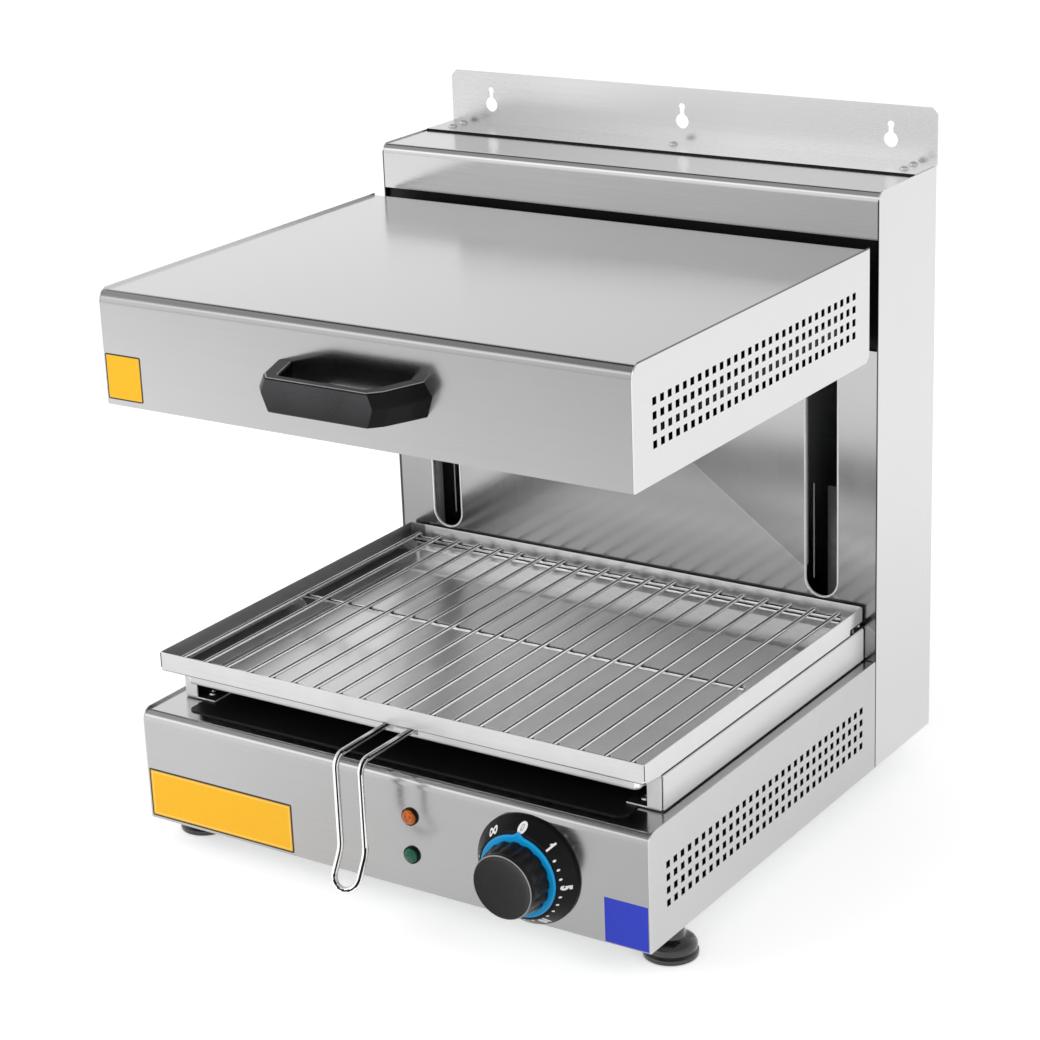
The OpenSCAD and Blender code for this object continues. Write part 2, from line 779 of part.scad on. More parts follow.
module pointer_ring() color("deepskyblue") place() translate([timer_x, -ring_out, timer_z])
    rotate([-90, 0, 0]) linear_extrude(ring_t) difference() {
        union() {
            circle(ring_r);
            polygon([[-tip_out, -ring_r + tip_out / 2], [0, -ring_r - tip_out],
                [tip_out, -ring_r + tip_out / 2]]);
        }
        circle(neck_knob_r + seat_fit);
    }
module knob_shaft() color(bright) place()
    rod_y([timer_x, -shaft_front, timer_z], shaft_front + shaft_back, shaft_r);

bezel_t = 2.4;
lens_out = 4.6;
module lamp(z) place() {
    rod_y([lamp_x, -bezel_t, z], bezel_t + lamp_d, lamp_body_r);
    rod_y([lamp_x, -lens_out, z], lens_out - bezel_t, lamp_body_r);
}
module lamp_orange() color("orange") lamp(lamp_high);
module lamp_green() color("green") lamp(lamp_low);
module lamp_bezels() color(black) place() for (z = [lamp_low, lamp_high]) difference() {
    rod_y([lamp_x, -bezel_t, z], bezel_t, lamp_r);
    rod_y([lamp_x, -bezel_t - over, z], bezel_t + 2 * over, lamp_body_r + seat_fit);
}

terminal_w = 60;
terminal_d = 22;
terminal_h = 20;
terminal_in = 46.5;
terminal_y = base_d - terminal_in;
terminal_n = 5;
terminal_screw_r = 3;
module terminal_strip(z) difference() {
    block(-terminal_w / 2, terminal_w / 2, -terminal_d / 2, terminal_d / 2, z, z + terminal_h);
    for (i = [0 : terminal_n - 1])
        rod_z([-terminal_w / 2 + (i + 1 / 2) * terminal_w / terminal_n, 0, z + terminal_h / 2],
            terminal_h, terminal_screw_r);
}
module terminal_block() color("white") place()
    translate([cord_x, terminal_y, 0]) terminal_strip(2 * sheet);

// feet

module feet_one() {
    rod_z([0, 0, 0], foot_t, foot_r);
    rod_z([0, 0, foot_t], foot_h - foot_t - neck_gap, neck_r);
    translate([0, 0, foot_t]) cylinder(h = bell_h, r1 = bell_r + bell_spread, r2 = bell_r);
    translate([0, 0, foot_t + bell_h])
        cylinder(h = bell_h, r1 = bell_r, r2 = neck_r);
    rod_z([0, 0, foot_t], foot_h + stud_l - foot_t, stud_r);
}
neck_gap = 0.5;
bell_h = 5;
bell_spread = 2.5;
module foot_front() color(black) translate([foot_front_x, y_shift + foot_front_y, 0]) feet_one();
module foot_rear() color(black)
    translate([foot_rear_x, y_shift + column_back_y - foot_rear_inset, 0]) feet_one();
module foot_front_right() foot_front();
module foot_front_left() mirror([1, 0, 0]) foot_front();
module foot_rear_right() foot_rear();
module foot_rear_left() mirror([1, 0, 0]) foot_rear();
module foot_nuts() color(steel) place() foot_at() difference() {
    xy(2 * sheet, nut_h) hex_2d(nut_w);
    rod_z([0, 0, 0], foot_h, stud_r + run_fit);
}

// hood

module hood_shell() color(steel) place() union() {
    yz(-half_in, 2 * half_in) translate([hood_y, hood_rest_z])
        bent_sheet(hood_d, hood_h, hood_bend, sheet);
    block(-half_in, half_in, hood_y + sheet, hood_y + sheet + hood_lip, hood_rest_z,
        hood_rest_z + sheet);
}
module hood_side() place() {
    yz(half_in, sheet) translate([hood_y, hood_rest_z]) difference() {
        corner_plate(hood_d, hood_h + proud, hood_bend + proud);
        vents(perf_hood_n, perf_hood_y, perf_hood_z);
        translate([hood_d, 0]) rotate(45) square(hood_chamfer * sqrt(2), center = true);
    }
    block(half_in - hood_lip, half_in, hood_y + sheet + hood_lip, base_d - hood_gap - sheet
        - hood_chamfer, hood_rest_z, hood_rest_z + sheet);
}
module hood_side_right() color(bright) hood_side();
module hood_side_left() color(bright) mirror([1, 0, 0]) hood_side();
module hood_back() color(steel) place()
    block(-half_in, half_in, base_d - hood_gap - sheet, base_d - hood_gap,
        hood_rest_z, hood_top - sheet);

refl_seat = 3;
refl_x = half_in - hood_lip + refl_seat;
refl_y0 = hood_y + sheet + hood_lip - refl_seat;
refl_y1 = base_d - hood_gap - sheet;
refl_z0 = hood_rest_z + sheet;
refl_z1 = hood_rest_z + reflector_h;
tube_at = hood_rest_z + tube_z;
tube_mid = (refl_y0 + refl_y1) / 2;
module reflector() color(bright) place() difference() {
    block(-refl_x, refl_x, refl_y0, refl_y1, refl_z0, refl_z1);
    block(-refl_x + reflector_t, refl_x - reflector_t, refl_y0 + reflector_t,
        refl_y1 - reflector_t, refl_z0 - over, refl_z1 - reflector_t);
    for (k = [-1, 0, 1], s = [-1, 1])
        rod_x([-refl_x - over, tube_mid + k * tube_pitch + s * tube_bend, tube_at],
            reflector_t + 2 * over, tube_r + hole_fit);
}
tube_out = 3;
pin_r = 1.5;
pin_l = 4;
module element(k) color("dimgray") place() translate([0, tube_mid + k * tube_pitch, tube_at]) {
    for (s = [-1, 1]) {
        rod_x([-refl_x - tube_out, s * tube_bend, 0], refl_x + tube_out + tube_turn, tube_r);
        rod_x([-refl_x - tube_out - pin_l, s * tube_bend, 0], pin_l + tube_out, pin_r);
    }
    translate([tube_turn, 0, 0]) rotate([0, 0, -90]) rotate_extrude(angle = 180)
        translate([tube_bend, 0]) circle(tube_r);
}
tube_turn = half_in - tube_end - tube_bend;
module element_front() element(-1);
module element_middle() element(0);
module element_rear() element(1);

hanger_past = 14;
hanger_low = 3;
module element_hangers() color(steel) place() for (x = [-hanger_x, hanger_x - hanger_t])
    difference() {
        block(x, x + hanger_t, tube_mid - tube_pitch - tube_bend - hanger_past,
            tube_mid + tube_pitch + tube_bend + hanger_past, tube_at - tube_r - hanger_low,
            refl_z1 - reflector_t);
        for (k = [-1, 0, 1], s = [-1, 1])
            rod_x([x - over, tube_mid + k * tube_pitch + s * tube_bend, tube_at],
                hanger_t + 2 * over, tube_r + seat_fit);
    }
element_term_in = 75;
element_term_x = body_w / 2 - element_term_in;
module element_terminals() color("white") place()
    translate([-element_term_x, tube_mid, 0]) rotate([0, 0, 90]) terminal_strip(refl_z1);

grip_screw_in = 9;
grip_x = grip_w / 2 - grip_leg / 2;
module grip_2d() difference() {
    polygon([[-grip_w / 2, 0], [grip_w / 2, 0], [grip_w / 2, -grip_end_d],
        [grip_face_w / 2, -grip_out], [-grip_face_w / 2, -grip_out],
        [-grip_w / 2, -grip_end_d]]);
    polygon([[-grip_w / 2 + grip_leg, over], [grip_w / 2 - grip_leg, over],
        [grip_w / 2 - grip_leg, -grip_end_d + grip_in], [grip_face_w / 2 - grip_in,
            -grip_out + grip_t], [-grip_face_w / 2 + grip_in, -grip_out + grip_t],
        [-grip_w / 2 + grip_leg, -grip_end_d + grip_in]]);
}
grip_in = 3;
module hood_handle() color(black) place() translate([0, hood_y, 0])
    xy(hood_rest_z + grip_z, grip_h) grip_2d();
module handle_screws() color(steel) place() both()
    rod_y([grip_x, hood_y + sheet, hood_rest_z + grip_z + grip_h / 2], screw_head_t,
        screw_head_r);

// tray and grate

rim_x = tray_w / 2;
pan_x = rim_x - ledge_w - tray_t;
pan_y0 = tray_y + ledge_w;
pan_y1 = tray_y + tray_d - ledge_w;
cross_at = tray_z + cross_z;
weld = 0.3;
bar_at = cross_at + cross_r + bar_r - weld;
bar_x = rim_x - bar_in;
bar_pitch = 2 * bar_x / (bar_n - 1);
cross_back = tray_y + tray_d - bar_rear - 2 * bar_r - cross_r;
cross_ys = [tray_y + cross_front, tray_y + cross_mid, cross_back];
tab_top = cross_at - cross_r - clear;
module tray() color(bright) place() difference() {
    union() {
        difference() {
            union() {
                block(-rim_x, rim_x, tray_y, tray_y + tray_d, tray_z, tray_z + rim_h);
                block(-pan_x, pan_x, pan_y0, pan_y1, pan_z, tray_z);
            }
            block(-rim_x + tray_t, rim_x - tray_t, tray_y + tray_t, tray_y + tray_d - tray_t,
                tray_z + tray_t, tray_z + rim_h + over);
            block(-pan_x + tray_t, pan_x - tray_t, pan_y0 + tray_t, pan_y1 - tray_t,
                pan_z + tray_t, tray_z + rim_h);
        }
        block(-pan_x + tray_t, pan_x - tray_t, pan_y1 - tray_t - pan_step_d, pan_y1 - tray_t,
            pan_z + tray_t, pan_z + tray_t + pan_step_h);
        both() for (y = cross_ys)
            block(bar_x, rim_x - tray_t, y - tab_w / 2, y - tab_w / 2 + tray_t,
                tray_z + tray_t, tab_top);
    }
    both() block(rim_x - 2 * tray_t, rim_x + over, tray_y + tray_d - corner_cut_d,
        tray_y + tray_d + over, tray_z - over, tray_z + corner_cut_h);
    block(-rim_x - over, rim_x + over, tray_y + tray_d - 2 * tray_t, tray_y + tray_d + over,
        tray_z - over, tray_z + tray_t - over);
}

module grate() color(bright) place() {
    for (i = [0 : bar_n - 1]) translate([-bar_x + i * bar_pitch, 0, 0]) {
        rod_y([0, tray_y + bar_front, bar_at], tray_d - bar_front - bar_rear - bar_r, bar_r);
        translate([0, tray_y + tray_d - bar_rear - bar_r, bar_at]) sphere(bar_r);
        rod_z([0, tray_y + tray_d - bar_rear - bar_r, bar_at - bar_drop], bar_drop, bar_r);
    }
    for (y = cross_ys) rod_x([-bar_x - cross_past, y, cross_at], 2 * (bar_x + cross_past), cross_r);
    rod_x([-bar_x - cross_past, cross_back + weld, bar_at - bar_drop + cross_r],
        2 * (bar_x + cross_past), cross_r);
}

wire_z = tray_z - wire_down;
wire_x = wire_pitch / 2;
bead = 0.05;
module wire_half() {
    rod_y([wire_x, -wire_out + wire_bend, wire_z], wire_out - wire_bend + pan_y0, wire_r);
    translate([wire_x, -wire_out + wire_bend, wire_z - wire_bend]) rotate([90, 0, 90])
        rotate([0, 0, 90]) rotate_extrude(angle = 90) translate([wire_bend, 0]) circle(wire_r);
    rod_z([wire_x, -wire_out, wire_low], wire_z - wire_bend - wire_low, wire_r);
    translate([wire_x, -wire_out, wire_low]) sphere(wire_r + bead);
    translate([wire_x, -wire_out - wire_bend_low, wire_low]) rotate([90, 0, 90])
        rotate([0, 0, -wire_flare]) rotate_extrude(angle = wire_flare)
            translate([wire_bend_low, 0]) circle(wire_r);
    translate([0, -wire_out - wire_bend_low * (1 - cos(wire_flare)),
            wire_low - wire_bend_low * sin(wire_flare)]) rotate([-wire_flare, 0, 0]) {
        rod_z([wire_x, 0, -wire_tip], wire_tip, wire_r);
        translate([wire_x, 0, 0]) sphere(wire_r + bead);
        translate([0, 0, -wire_tip]) rotate([90, 0, 0]) rotate([0, 0, -90])
            rotate_extrude(angle = 90) translate([wire_x, 0]) circle(wire_r);
    }
}
module tray_handle() color(bright) place() both() wire_half();

base_shell();
base_side_right();
base_side_left();
base_bottom();
deck_plate();
runner_right();
runner_left();
column_side_right();
column_side_left();
column_front();
column_top();
column_back();
wall_bracket();
screws();
guide_rods();
rod_holders();
stop_collars();
pulley_bracket();
pulley_axle();
cable_arcs();
weight_guides();
timer_case();
dial();
lamp_orange();
lamp_green();
lamp_bezels();
terminal_block();
cord_grommet();
foot_nuts();
hood_shell();
hood_side_right();
hood_side_left();
hood_back();
reflector();
element_front();
element_middle();
element_rear();
element_hangers();
element_terminals();
hood_handle();
handle_screws();
lift_arms();
slide_blocks();
cross_beam();
window_shield();
tray();
tray_handle();
grate();
knob_cap();
pointer_ring();
knob_shaft();
pulley_right();
pulley_left();
counterweight();
cables_hood();
cables_weight();
foot_front_right();
foot_front_left();
foot_rear_right();
foot_rear_left();
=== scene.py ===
"""Looks of the rise-and-fall cheese melter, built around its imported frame.

Lengths here are millimetres in the part's own axes: x to the right, y back from the base's
front face, z up from the base's lower edge. at() turns them into the frame's metres.
"""
import math

import bmesh
import bpy
from mathutils import Matrix, Vector


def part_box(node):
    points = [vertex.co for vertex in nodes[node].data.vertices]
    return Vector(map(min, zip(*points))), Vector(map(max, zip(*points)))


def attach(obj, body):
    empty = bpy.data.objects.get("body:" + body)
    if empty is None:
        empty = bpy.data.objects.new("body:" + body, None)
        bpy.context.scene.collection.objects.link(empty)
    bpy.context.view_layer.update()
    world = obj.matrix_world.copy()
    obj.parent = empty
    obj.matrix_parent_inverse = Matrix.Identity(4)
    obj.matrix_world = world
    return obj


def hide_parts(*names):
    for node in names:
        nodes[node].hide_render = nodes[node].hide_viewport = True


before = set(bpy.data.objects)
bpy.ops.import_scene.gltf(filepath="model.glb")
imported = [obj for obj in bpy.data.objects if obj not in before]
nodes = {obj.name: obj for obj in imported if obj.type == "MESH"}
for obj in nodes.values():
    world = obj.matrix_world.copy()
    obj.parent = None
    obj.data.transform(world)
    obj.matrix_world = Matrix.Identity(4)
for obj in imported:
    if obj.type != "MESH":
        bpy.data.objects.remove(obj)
for left_over in ("Cube", "Light", "Camera"):
    if bpy.data.objects.get(left_over):
        bpy.data.objects.remove(bpy.data.objects[left_over])
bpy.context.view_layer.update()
scene = bpy.context.scene

MM = 0.001
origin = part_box("base_shell")[0]

# sizes that the CAD source gives, in mm
HALF_OUT, HALF_IN = 225, 223.8
DECK_Z = 90
HOOD_Y, HOOD_Z = -6.5, 337.0
COLUMN_H = 461.0
TIMER_X, TIMER_Z = 126.5, 42.3
TRAY_Y, TRAY_D, TRAY_Z = 14.0, 330.5, 117.0
# a wire's painted stripes of dark reflection lie on the side away from this direction
STRIPE_SIDE = Vector((-0.53, 0.78, -0.33))
CORNER_POINTS = 5
# share of a wire's radius that its end is rounded by
WIRE_END = 0.45


def at(x, y, z):
    return Vector((x * MM, origin.y + y * MM, origin.z + z * MM))


# ---- mesh helpers


class Shape:
    """Vertices and faces of one piece, with a material number for each face."""

    def __init__(self):
        self.verts, self.faces, self.numbers = [], [], []

    def add(self, verts, faces, number=0):
        base = len(self.verts)
        self.verts += [tuple(v) for v in verts]
        self.faces += [[base + i for i in f] for f in faces]
        self.numbers += [number] * len(faces)
        return self

    def rings(self, rings, number=0, caps=(True, True)):
        """Skin between loops with as many points each."""
        n = len(rings[0])
        verts = [p for ring in rings for p in ring]
        faces = []
        for k in range(len(rings) - 1):
            for i in range(n):
                j = (i + 1) % n
                faces.append([k * n + i, k * n + j, (k + 1) * n + j, (k + 1) * n + i])
        if caps[0]:
            faces.append(list(range(n))[::-1])
        if caps[1]:
            faces.append([(len(rings) - 1) * n + i for i in range(n)])
        return self.add(verts, faces, number)

    def mirrored(self):
        """The same shape again on the other side of x = 0."""
        base = len(self.verts)
        self.verts += [(-x, y, z) for x, y, z in self.verts]
        self.faces += [[base + i for i in f][::-1] for f in self.faces]
        self.numbers += self.numbers
        return self


def build(name, shape, materials, body, stands_for=(), *, sharp, bevel=0.0):
    mesh = bpy.data.meshes.new(name)
    mesh.from_pydata([at(*v) for v in shape.verts], [], shape.faces)
    for m in materials if isinstance(materials, (list, tuple)) else [materials]:
        mesh.materials.append(m)
    mesh.polygons.foreach_set("material_index", shape.numbers)
    mesh.validate()
    bm = bmesh.new()
    bm.from_mesh(mesh)
    bmesh.ops.recalc_face_normals(bm, faces=bm.faces)
    bm.to_mesh(mesh)
    bm.free()
    mesh.shade_smooth()
    mesh.set_sharp_from_angle(angle=math.radians(sharp))
    piece = bpy.data.objects.new(name, mesh)
    scene.collection.objects.link(piece)
    if bevel:
        edge = piece.modifiers.new("edge", "BEVEL")
        edge.width = bevel * MM
        edge.segments = 2
        edge.limit_method = "ANGLE"
        edge.angle_limit = math.radians(sharp)
        edge.harden_normals = True
    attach(piece, body)
    if stands_for:
        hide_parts(*stands_for)
    return piece


def circle(r, n, start=0.0):
    return [(r * math.cos(start + 2 * math.pi * i / n), r * math.sin(start + 2 * math.pi * i / n))
            for i in range(n)]


def inset(loop, amount, closed=True):
    """A counter-clockwise loop, or a line with its inside on the left, moved inward."""
    out, n = [], len(loop)
    for i in range(n):
        here = Vector(loop[i])
        before = here - Vector(loop[i - 1]) if closed or i else None
        after = Vector(loop[(i + 1) % n]) - here if closed or i < n - 1 else None
        before, after = before or after, after or before
        a = Vector((-before.y, before.x)).normalized()
        b = Vector((-after.y, after.x)).normalized()
        out.append(tuple(here + (a + b) * (amount / (1 + a.dot(b)))))
    return out


def fillet(points, radius, steps, closed=False):
    """A polyline or polygon with its corners rounded; radius is a number or one for each."""
    points = [Vector(p) for p in points]
    n = len(points)
    radii = radius if isinstance(radius, (list, tuple)) else [radius] * n
    out = []
    for i, p in enumerate(points):
        if radii[i] <= 0 or (not closed and i in (0, n - 1)):
            out.append(p)
            continue
        a, b = (points[i - 1] - p).normalized(), (points[(i + 1) % n] - p).normalized()
        half = math.acos(max(-1, min(1, a.dot(b)))) / 2
        centre = p + (a + b).normalized() * (radii[i] / math.sin(half))
        start = p + a * (radii[i] / math.tan(half)) - centre
        end = p + b * (radii[i] / math.tan(half)) - centre
        angle = start.angle(end)
        for k in range(steps + 1):
            t = k / steps
            out.append(centre + (start * math.sin((1 - t) * angle) + end * math.sin(t * angle))
                       / math.sin(angle))
    return out


def tube(shape, path, r, sides, number=0, bands=()):
    """A round wire along a path, its ends slightly rounded.

    Each band (low, high, number) is a stripe of painted dark reflection along the wire,
    placed by how far up the front right side of the wire it lies, from -1 to 1.
    """
    path = [Vector(p) for p in path]
    first, last = (path[1] - path[0]).normalized(), (path[-2] - path[-1]).normalized()
    path = [path[0], path[0] + first * r * WIRE_END, *path[1:-1], path[-1] + last * r * WIRE_END,
            path[-1]]
    radii = [r * (1 - WIRE_END)] + [r] * (len(path) - 2) + [r * (1 - WIRE_END)]
    tangents = [(path[min(i + 1, len(path) - 1)] - path[max(i - 1, 0)]).normalized()
                for i in range(len(path))]
    side = tangents[0].orthogonal().normalized()
    loops = []
    for i, (p, t) in enumerate(zip(path, tangents)):
        if i:
            side = (side - t * side.dot(t)).normalized()
        up = t.cross(side)
        loops.append([p + (side * math.cos(a) + up * math.sin(a)) * radii[i]
                      for a in (2 * math.pi * k / sides for k in range(sides))])
    first_face = len(shape.faces)
    shape.rings(loops, number)
    for low, high, stripe in bands:
        for k, (ring, ahead) in enumerate(zip(loops, loops[1:])):
            middle, onward = (sum(loop, Vector()) / sides for loop in (ring, ahead))
            across_wire = (onward - middle).cross(STRIPE_SIDE).normalized()
            if across_wire.z < 0:
                across_wire.negate()
            for i in range(sides):
                out = ((ring[i] + ring[(i + 1) % sides]) / 2 - middle).normalized()
                if low < out.dot(across_wire) < high and out.dot(STRIPE_SIDE) < 0:
                    shape.numbers[first_face + k * sides + i] = stripe
    return shape


def lathe(shape, profile, place, sides):
    """Turned shape: profile is (radius, height); a radius of 0 closes it to a point."""
    loops = [[place(u, v, h) for u, v in circle(max(r, 0.001), sides)] for r, h in profile]
    return shape.rings(loops)


def arc(cu, cv, r, a0, a1, steps):
    """Points of an arc, angles in degrees."""
    return [(cu + r * math.cos(math.radians(a0 + (a1 - a0) * k / steps)),
             cv + r * math.sin(math.radians(a0 + (a1 - a0) * k / steps))) for k in range(steps + 1)]


# ---- materials


def put(tree, kind, inputs=None, **settings):
    made = tree.nodes.new("ShaderNode" + kind)
    for key, value in settings.items():
        setattr(made, key, value)
    for key, value in (inputs or {}).items():
        if isinstance(value, bpy.types.NodeSocket):
            tree.links.new(value, made.inputs[key])
        else:
            made.inputs[key].default_value = value
    return made


def ramp(tree, factor, stops):
    made = put(tree, "ValToRGB", {"Fac": factor})
    for i, (place, colour) in enumerate(stops):
        stop = made.color_ramp.elements[i] if i < 2 else made.color_ramp.elements.new(place)
        stop.position = place
        stop.color = (*colour, 1)
    return made.outputs["Color"]


def shade(colour, factor):
    return tuple(max(0, min(1, c * factor)) for c in colour)


def material(name, colour, metallic=0.0, rough=0.3, spread=0.2, grain=None, across=900.0,
             along=4.0, depth=2e-5, cloud=0.04, cloud_size=9.0, tones=(), **sockets):
    """Principled shader with grain: streaks along an axis, or even grain where it is None.

    Each tone (axis, from, to, factor at from, factor at to) scales the colour across the part, in
    mm of the part's own axes; the tones paint light and shade, such as shadow lines and gradients
    of light.
    """
    made = bpy.data.materials.new(name)
    made.use_nodes = True
    tree = made.node_tree
    shader = tree.nodes["Principled BSDF"]
    where = put(tree, "TexCoord").outputs["Object"]
    scale = [across] * 3
    if grain is not None:
        scale["xyz".index(grain)] = along
    stretched = put(tree, "Mapping", {"Vector": where, "Scale": scale}).outputs["Vector"]
    fine = put(tree, "TexNoise", {"Vector": stretched, "Scale": 1.0, "Detail": 3.0,
                                  "Roughness": 0.6}).outputs["Fac"]
    broad = put(tree, "TexNoise", {"Vector": where, "Scale": cloud_size, "Detail": 3.0,
                                   "Roughness": 0.55}).outputs["Fac"]
    mixed = put(tree, "Math", {0: fine, 1: broad}, operation="ADD").outputs[0]
    level = put(tree, "Math", {0: mixed, 1: 0.5}, operation="MULTIPLY").outputs[0]
    base = ramp(tree, level, [(0.3, shade(colour, 1 - cloud)), (0.7, shade(colour, 1 + cloud))])
    parts = put(tree, "SeparateXYZ", {0: where}).outputs if tones else ()
    for axis, start, end, low, high in tones:
        k = "xyz".index(axis)
        span = [at(*[value] * 3)[k] for value in (start, end)]
        factor = put(tree, "MapRange", {"Value": parts[k], "From Min": span[0],
                                        "From Max": span[1], "To Min": low,
                                        "To Max": high}).outputs["Result"]
        base = put(tree, "VectorMath", {0: base, "Scale": factor}, operation="SCALE").outputs[0]
    tree.links.new(base, shader.inputs["Base Color"])
    roughness = put(tree, "MapRange", {"Value": level, "From Min": 0.3, "From Max": 0.7,
                                       "To Min": rough * (1 - spread),
                                       "To Max": rough * (1 + spread)}).outputs["Result"]
    tree.links.new(roughness, shader.inputs["Roughness"])
    bump = put(tree, "Bump", {"Height": fine, "Strength": 1.0, "Distance": depth})
    tree.links.new(bump.outputs["Normal"], shader.inputs["Normal"])
    shader.inputs["Metallic"].default_value = metallic
    for key, value in sockets.items():
        shader.inputs[key.replace("_", " ")].default_value = value
    return made


def brushed(name, tones=()):
    """Front and top sheets, ground along the width."""
    return material(name, (0.51, 0.51, 0.513), 1, 0.17, grain="x", depth=1.4e-5, tones=tones)


def side_sheet(name, grain="y", factor=1.0, tones=()):
    """Side sheets, paler than the front in the photograph's light."""
    return material(name, shade((0.71, 0.71, 0.713), factor), 1, 0.24, grain=grain,
                    depth=1.4e-5, cloud=0.02, tones=tones)


def printed(name, colour, rough=0.42, cloud=0.04):
    """Ink on a label."""
    return material(name, colour, 0, rough, across=260, depth=8e-6, cloud=cloud)


looks = {
    "brushed_panel": brushed("brushed_panel_x"),
    # inside: painted shade, inner faces in this finish are near black
    "inside": material("inside_painted_shade", (0.05, 0.05, 0.052), 1, 0.5, across=300),
    "side_panel": side_sheet("side_panel_y"),
    "hidden_sheet": material("hidden_sheet", (0.5, 0.51, 0.52), 1, 0.35, grain="x", cloud=0.1),
    # tray_sheet: painted light, near white, with painted shade on the left wall and towards the
    # rear
    "tray_sheet": material("tray_sheet", (0.97, 0.97, 0.973), 1, 0.3, 0.05, grain="x", depth=2e-7,
                           cloud=0.03, cloud_size=14, tones=(("x", -199.6, -199, 0.36, 1),
                                                             ("y", 190, 290, 1, 0.8))),
    "bright_wire": material("bright_wire", (0.98, 0.98, 0.98), 0.85, 0.2, across=500, depth=1e-6,
                            cloud=0.03, cloud_size=60),
    "ground_steel": material("ground_steel", (0.7, 0.7, 0.7), 1, 0.12, across=2000, depth=3e-6),
    "fastener": material("fastener", (0.62, 0.62, 0.63), 1, 0.22, across=1500, depth=5e-6),
    # black_enamel: painted shade, the near-black deck plate under the tray stands for the dark
    # there
    "black_enamel": material("black_enamel", (0.006, 0.006, 0.007), 0, 0.35, across=700,
                             cloud=0.2, Specular_IOR_Level=0.2),
    "weight_paint": material("weight_paint", (0.03, 0.03, 0.032), 0, 0.5, across=300, depth=8e-5,
                             cloud=0.2),
    "slide_aluminium": material("slide_aluminium", (0.72, 0.73, 0.74), 1, 0.3, grain="z"),
    # reflector_sheet: painted shade, its outer faces near black so the side perforations look dark
    "reflector_sheet": material("reflector_sheet", (0.75, 0.75, 0.74), 1, 0.16, grain="x",
                                cloud=0.08, tones=(("x", 215.2, 215.8, 1, 0.02),
                                                   ("x", -215.8, -215.2, 0.02, 1))),
    "element_sheath": material("element_sheath", (0.12, 0.115, 0.11), 0.6, 0.5, across=800,
                               depth=4e-5, cloud=0.3, cloud_size=40),
    "ceramic": material("ceramic", (0.8, 0.78, 0.72), 0, 0.35, across=600),
    "black_plastic": material("black_plastic", (0.004, 0.004, 0.0045), 0, 0.22, across=2200,
                              depth=8e-6, cloud=0.2, Specular_IOR_Level=0.13),
    "blue_plastic": material("blue_plastic", (0.004, 0.33, 0.72), 0, 0.35, across=1500, depth=8e-6,
                             cloud=0.08, Specular_IOR_Level=0.3),
    "orange_lens": material("orange_lens", (0.55, 0.08, 0.003), 0, 0.1, across=420, depth=9e-4,
                            cloud=1.6, cloud_size=520, Specular_IOR_Level=0.4),
    "green_lens": material("green_lens", (0.0, 0.08, 0.043), 0, 0.1, across=420, depth=9e-4,
                           cloud=1.3, cloud_size=520, Specular_IOR_Level=0.35),
    "pulley_nylon": material("pulley_nylon", (0.8, 0.76, 0.64), 0, 0.4, across=900, depth=1e-5),
    "black_rubber": material("black_rubber", (0.008, 0.008, 0.008), 0, 0.14, across=700, depth=6e-6,
                             cloud=0.2, Coat_Weight=0.7, Coat_Roughness=0.08),
    "cable_steel": material("cable_steel", (0.45, 0.45, 0.46), 1, 0.35, across=3000, depth=3e-5),
}
# painted light: the hood's front face darker than its top, lighter to the left and towards its
# lower edge
hood_look = brushed("brushed_hood", (("y", HOOD_Y + 1.5, HOOD_Y + 9, 0.76, 1),
                                     ("x", -HALF_IN, HALF_IN, 1.13, 0.87),
                                     ("z", HOOD_Z, HOOD_Z + 76, 1.1, 0.95)))
# painted light: the base's front face darker than its top strip, lighter to the left
base_look = brushed("brushed_base", (("y", 1.5, 8, 0.84, 1), ("x", -HALF_IN, HALF_IN, 1.14, 0.86)))
cap_look = brushed("brushed_cap")
# painted shade: the base sides a darker copy of the side sheet, darker still towards the rear
base_side_look = side_sheet("base_side_y", factor=0.86, tones=(("y", 40, 330, 1, 0.88),))
# painted shade: the column front darker towards its left edge and below
column_front_look = material("column_front_z", (0.53, 0.53, 0.534), 1, 0.18, grain="z",
                             depth=6e-6, tones=(("x", -190, -90, 0.72, 1),
                                                ("z", 140, 200, 0.84, 1)))
# painted shadow: a near-black line along the flange's front edge; painted light rising towards the
# right
bracket_look = material("bracket_x", (0.62, 0.62, 0.623), 1, 0.26, grain="x", depth=4e-6,
                        cloud=0.01, tones=(("y", 409.1, 409.5, 0.03, 1),
                                           ("x", -180, 60, 0.92, 1.2)))
# painted shade: a dark line along the side panel's top edge, at the seam with the top sheet
hood_side_look = side_sheet("hood_side_y", tones=(("z", 422.8, 423.1, 1, 0.2),))
# painted highlight: a lighter band along the left side panel's top edge
hood_left_look = side_sheet("hood_left_y", tones=(("z", 421.2, 421.6, 1, 1.4),))
# painted shade: a dark line along the column sides' front edge, at the seam, and darker towards the
# bottom
upright_look = side_sheet("side_panel_z", "z", tones=(("y", 346.6, 347.0, 0.12, 1),
                                                      ("z", 60, 200, 0.92, 1)))
rail_look = material("rail_y", (0.78, 0.78, 0.783), 0.15, 0.4, grain="y", depth=6e-6, cloud=0.03)
# painted shade: the strips dark beside the lift arms, darker low down and much darker towards the
# top
strip_look = material("strip_galvanised_and_shade", (0.75, 0.75, 0.75), 0, 0.5, across=160, depth=5e-5,
                      cloud=0.6, cloud_size=60, tones=(("x", 182.5, 188, 0.12, 1),
                                                       ("x", -188, -182.5, 1, 0.12),
                                                       ("z", 150, 175, 0.5, 1),
                                                       ("z", 190, 228, 1, 0.25)))
# two thin mid-grey strips behind each slot give dim vertical lines there
slot_line_look = material("slot_grey_line", (0.2, 0.2, 0.2), 0, 0.4, across=600, depth=1e-5)
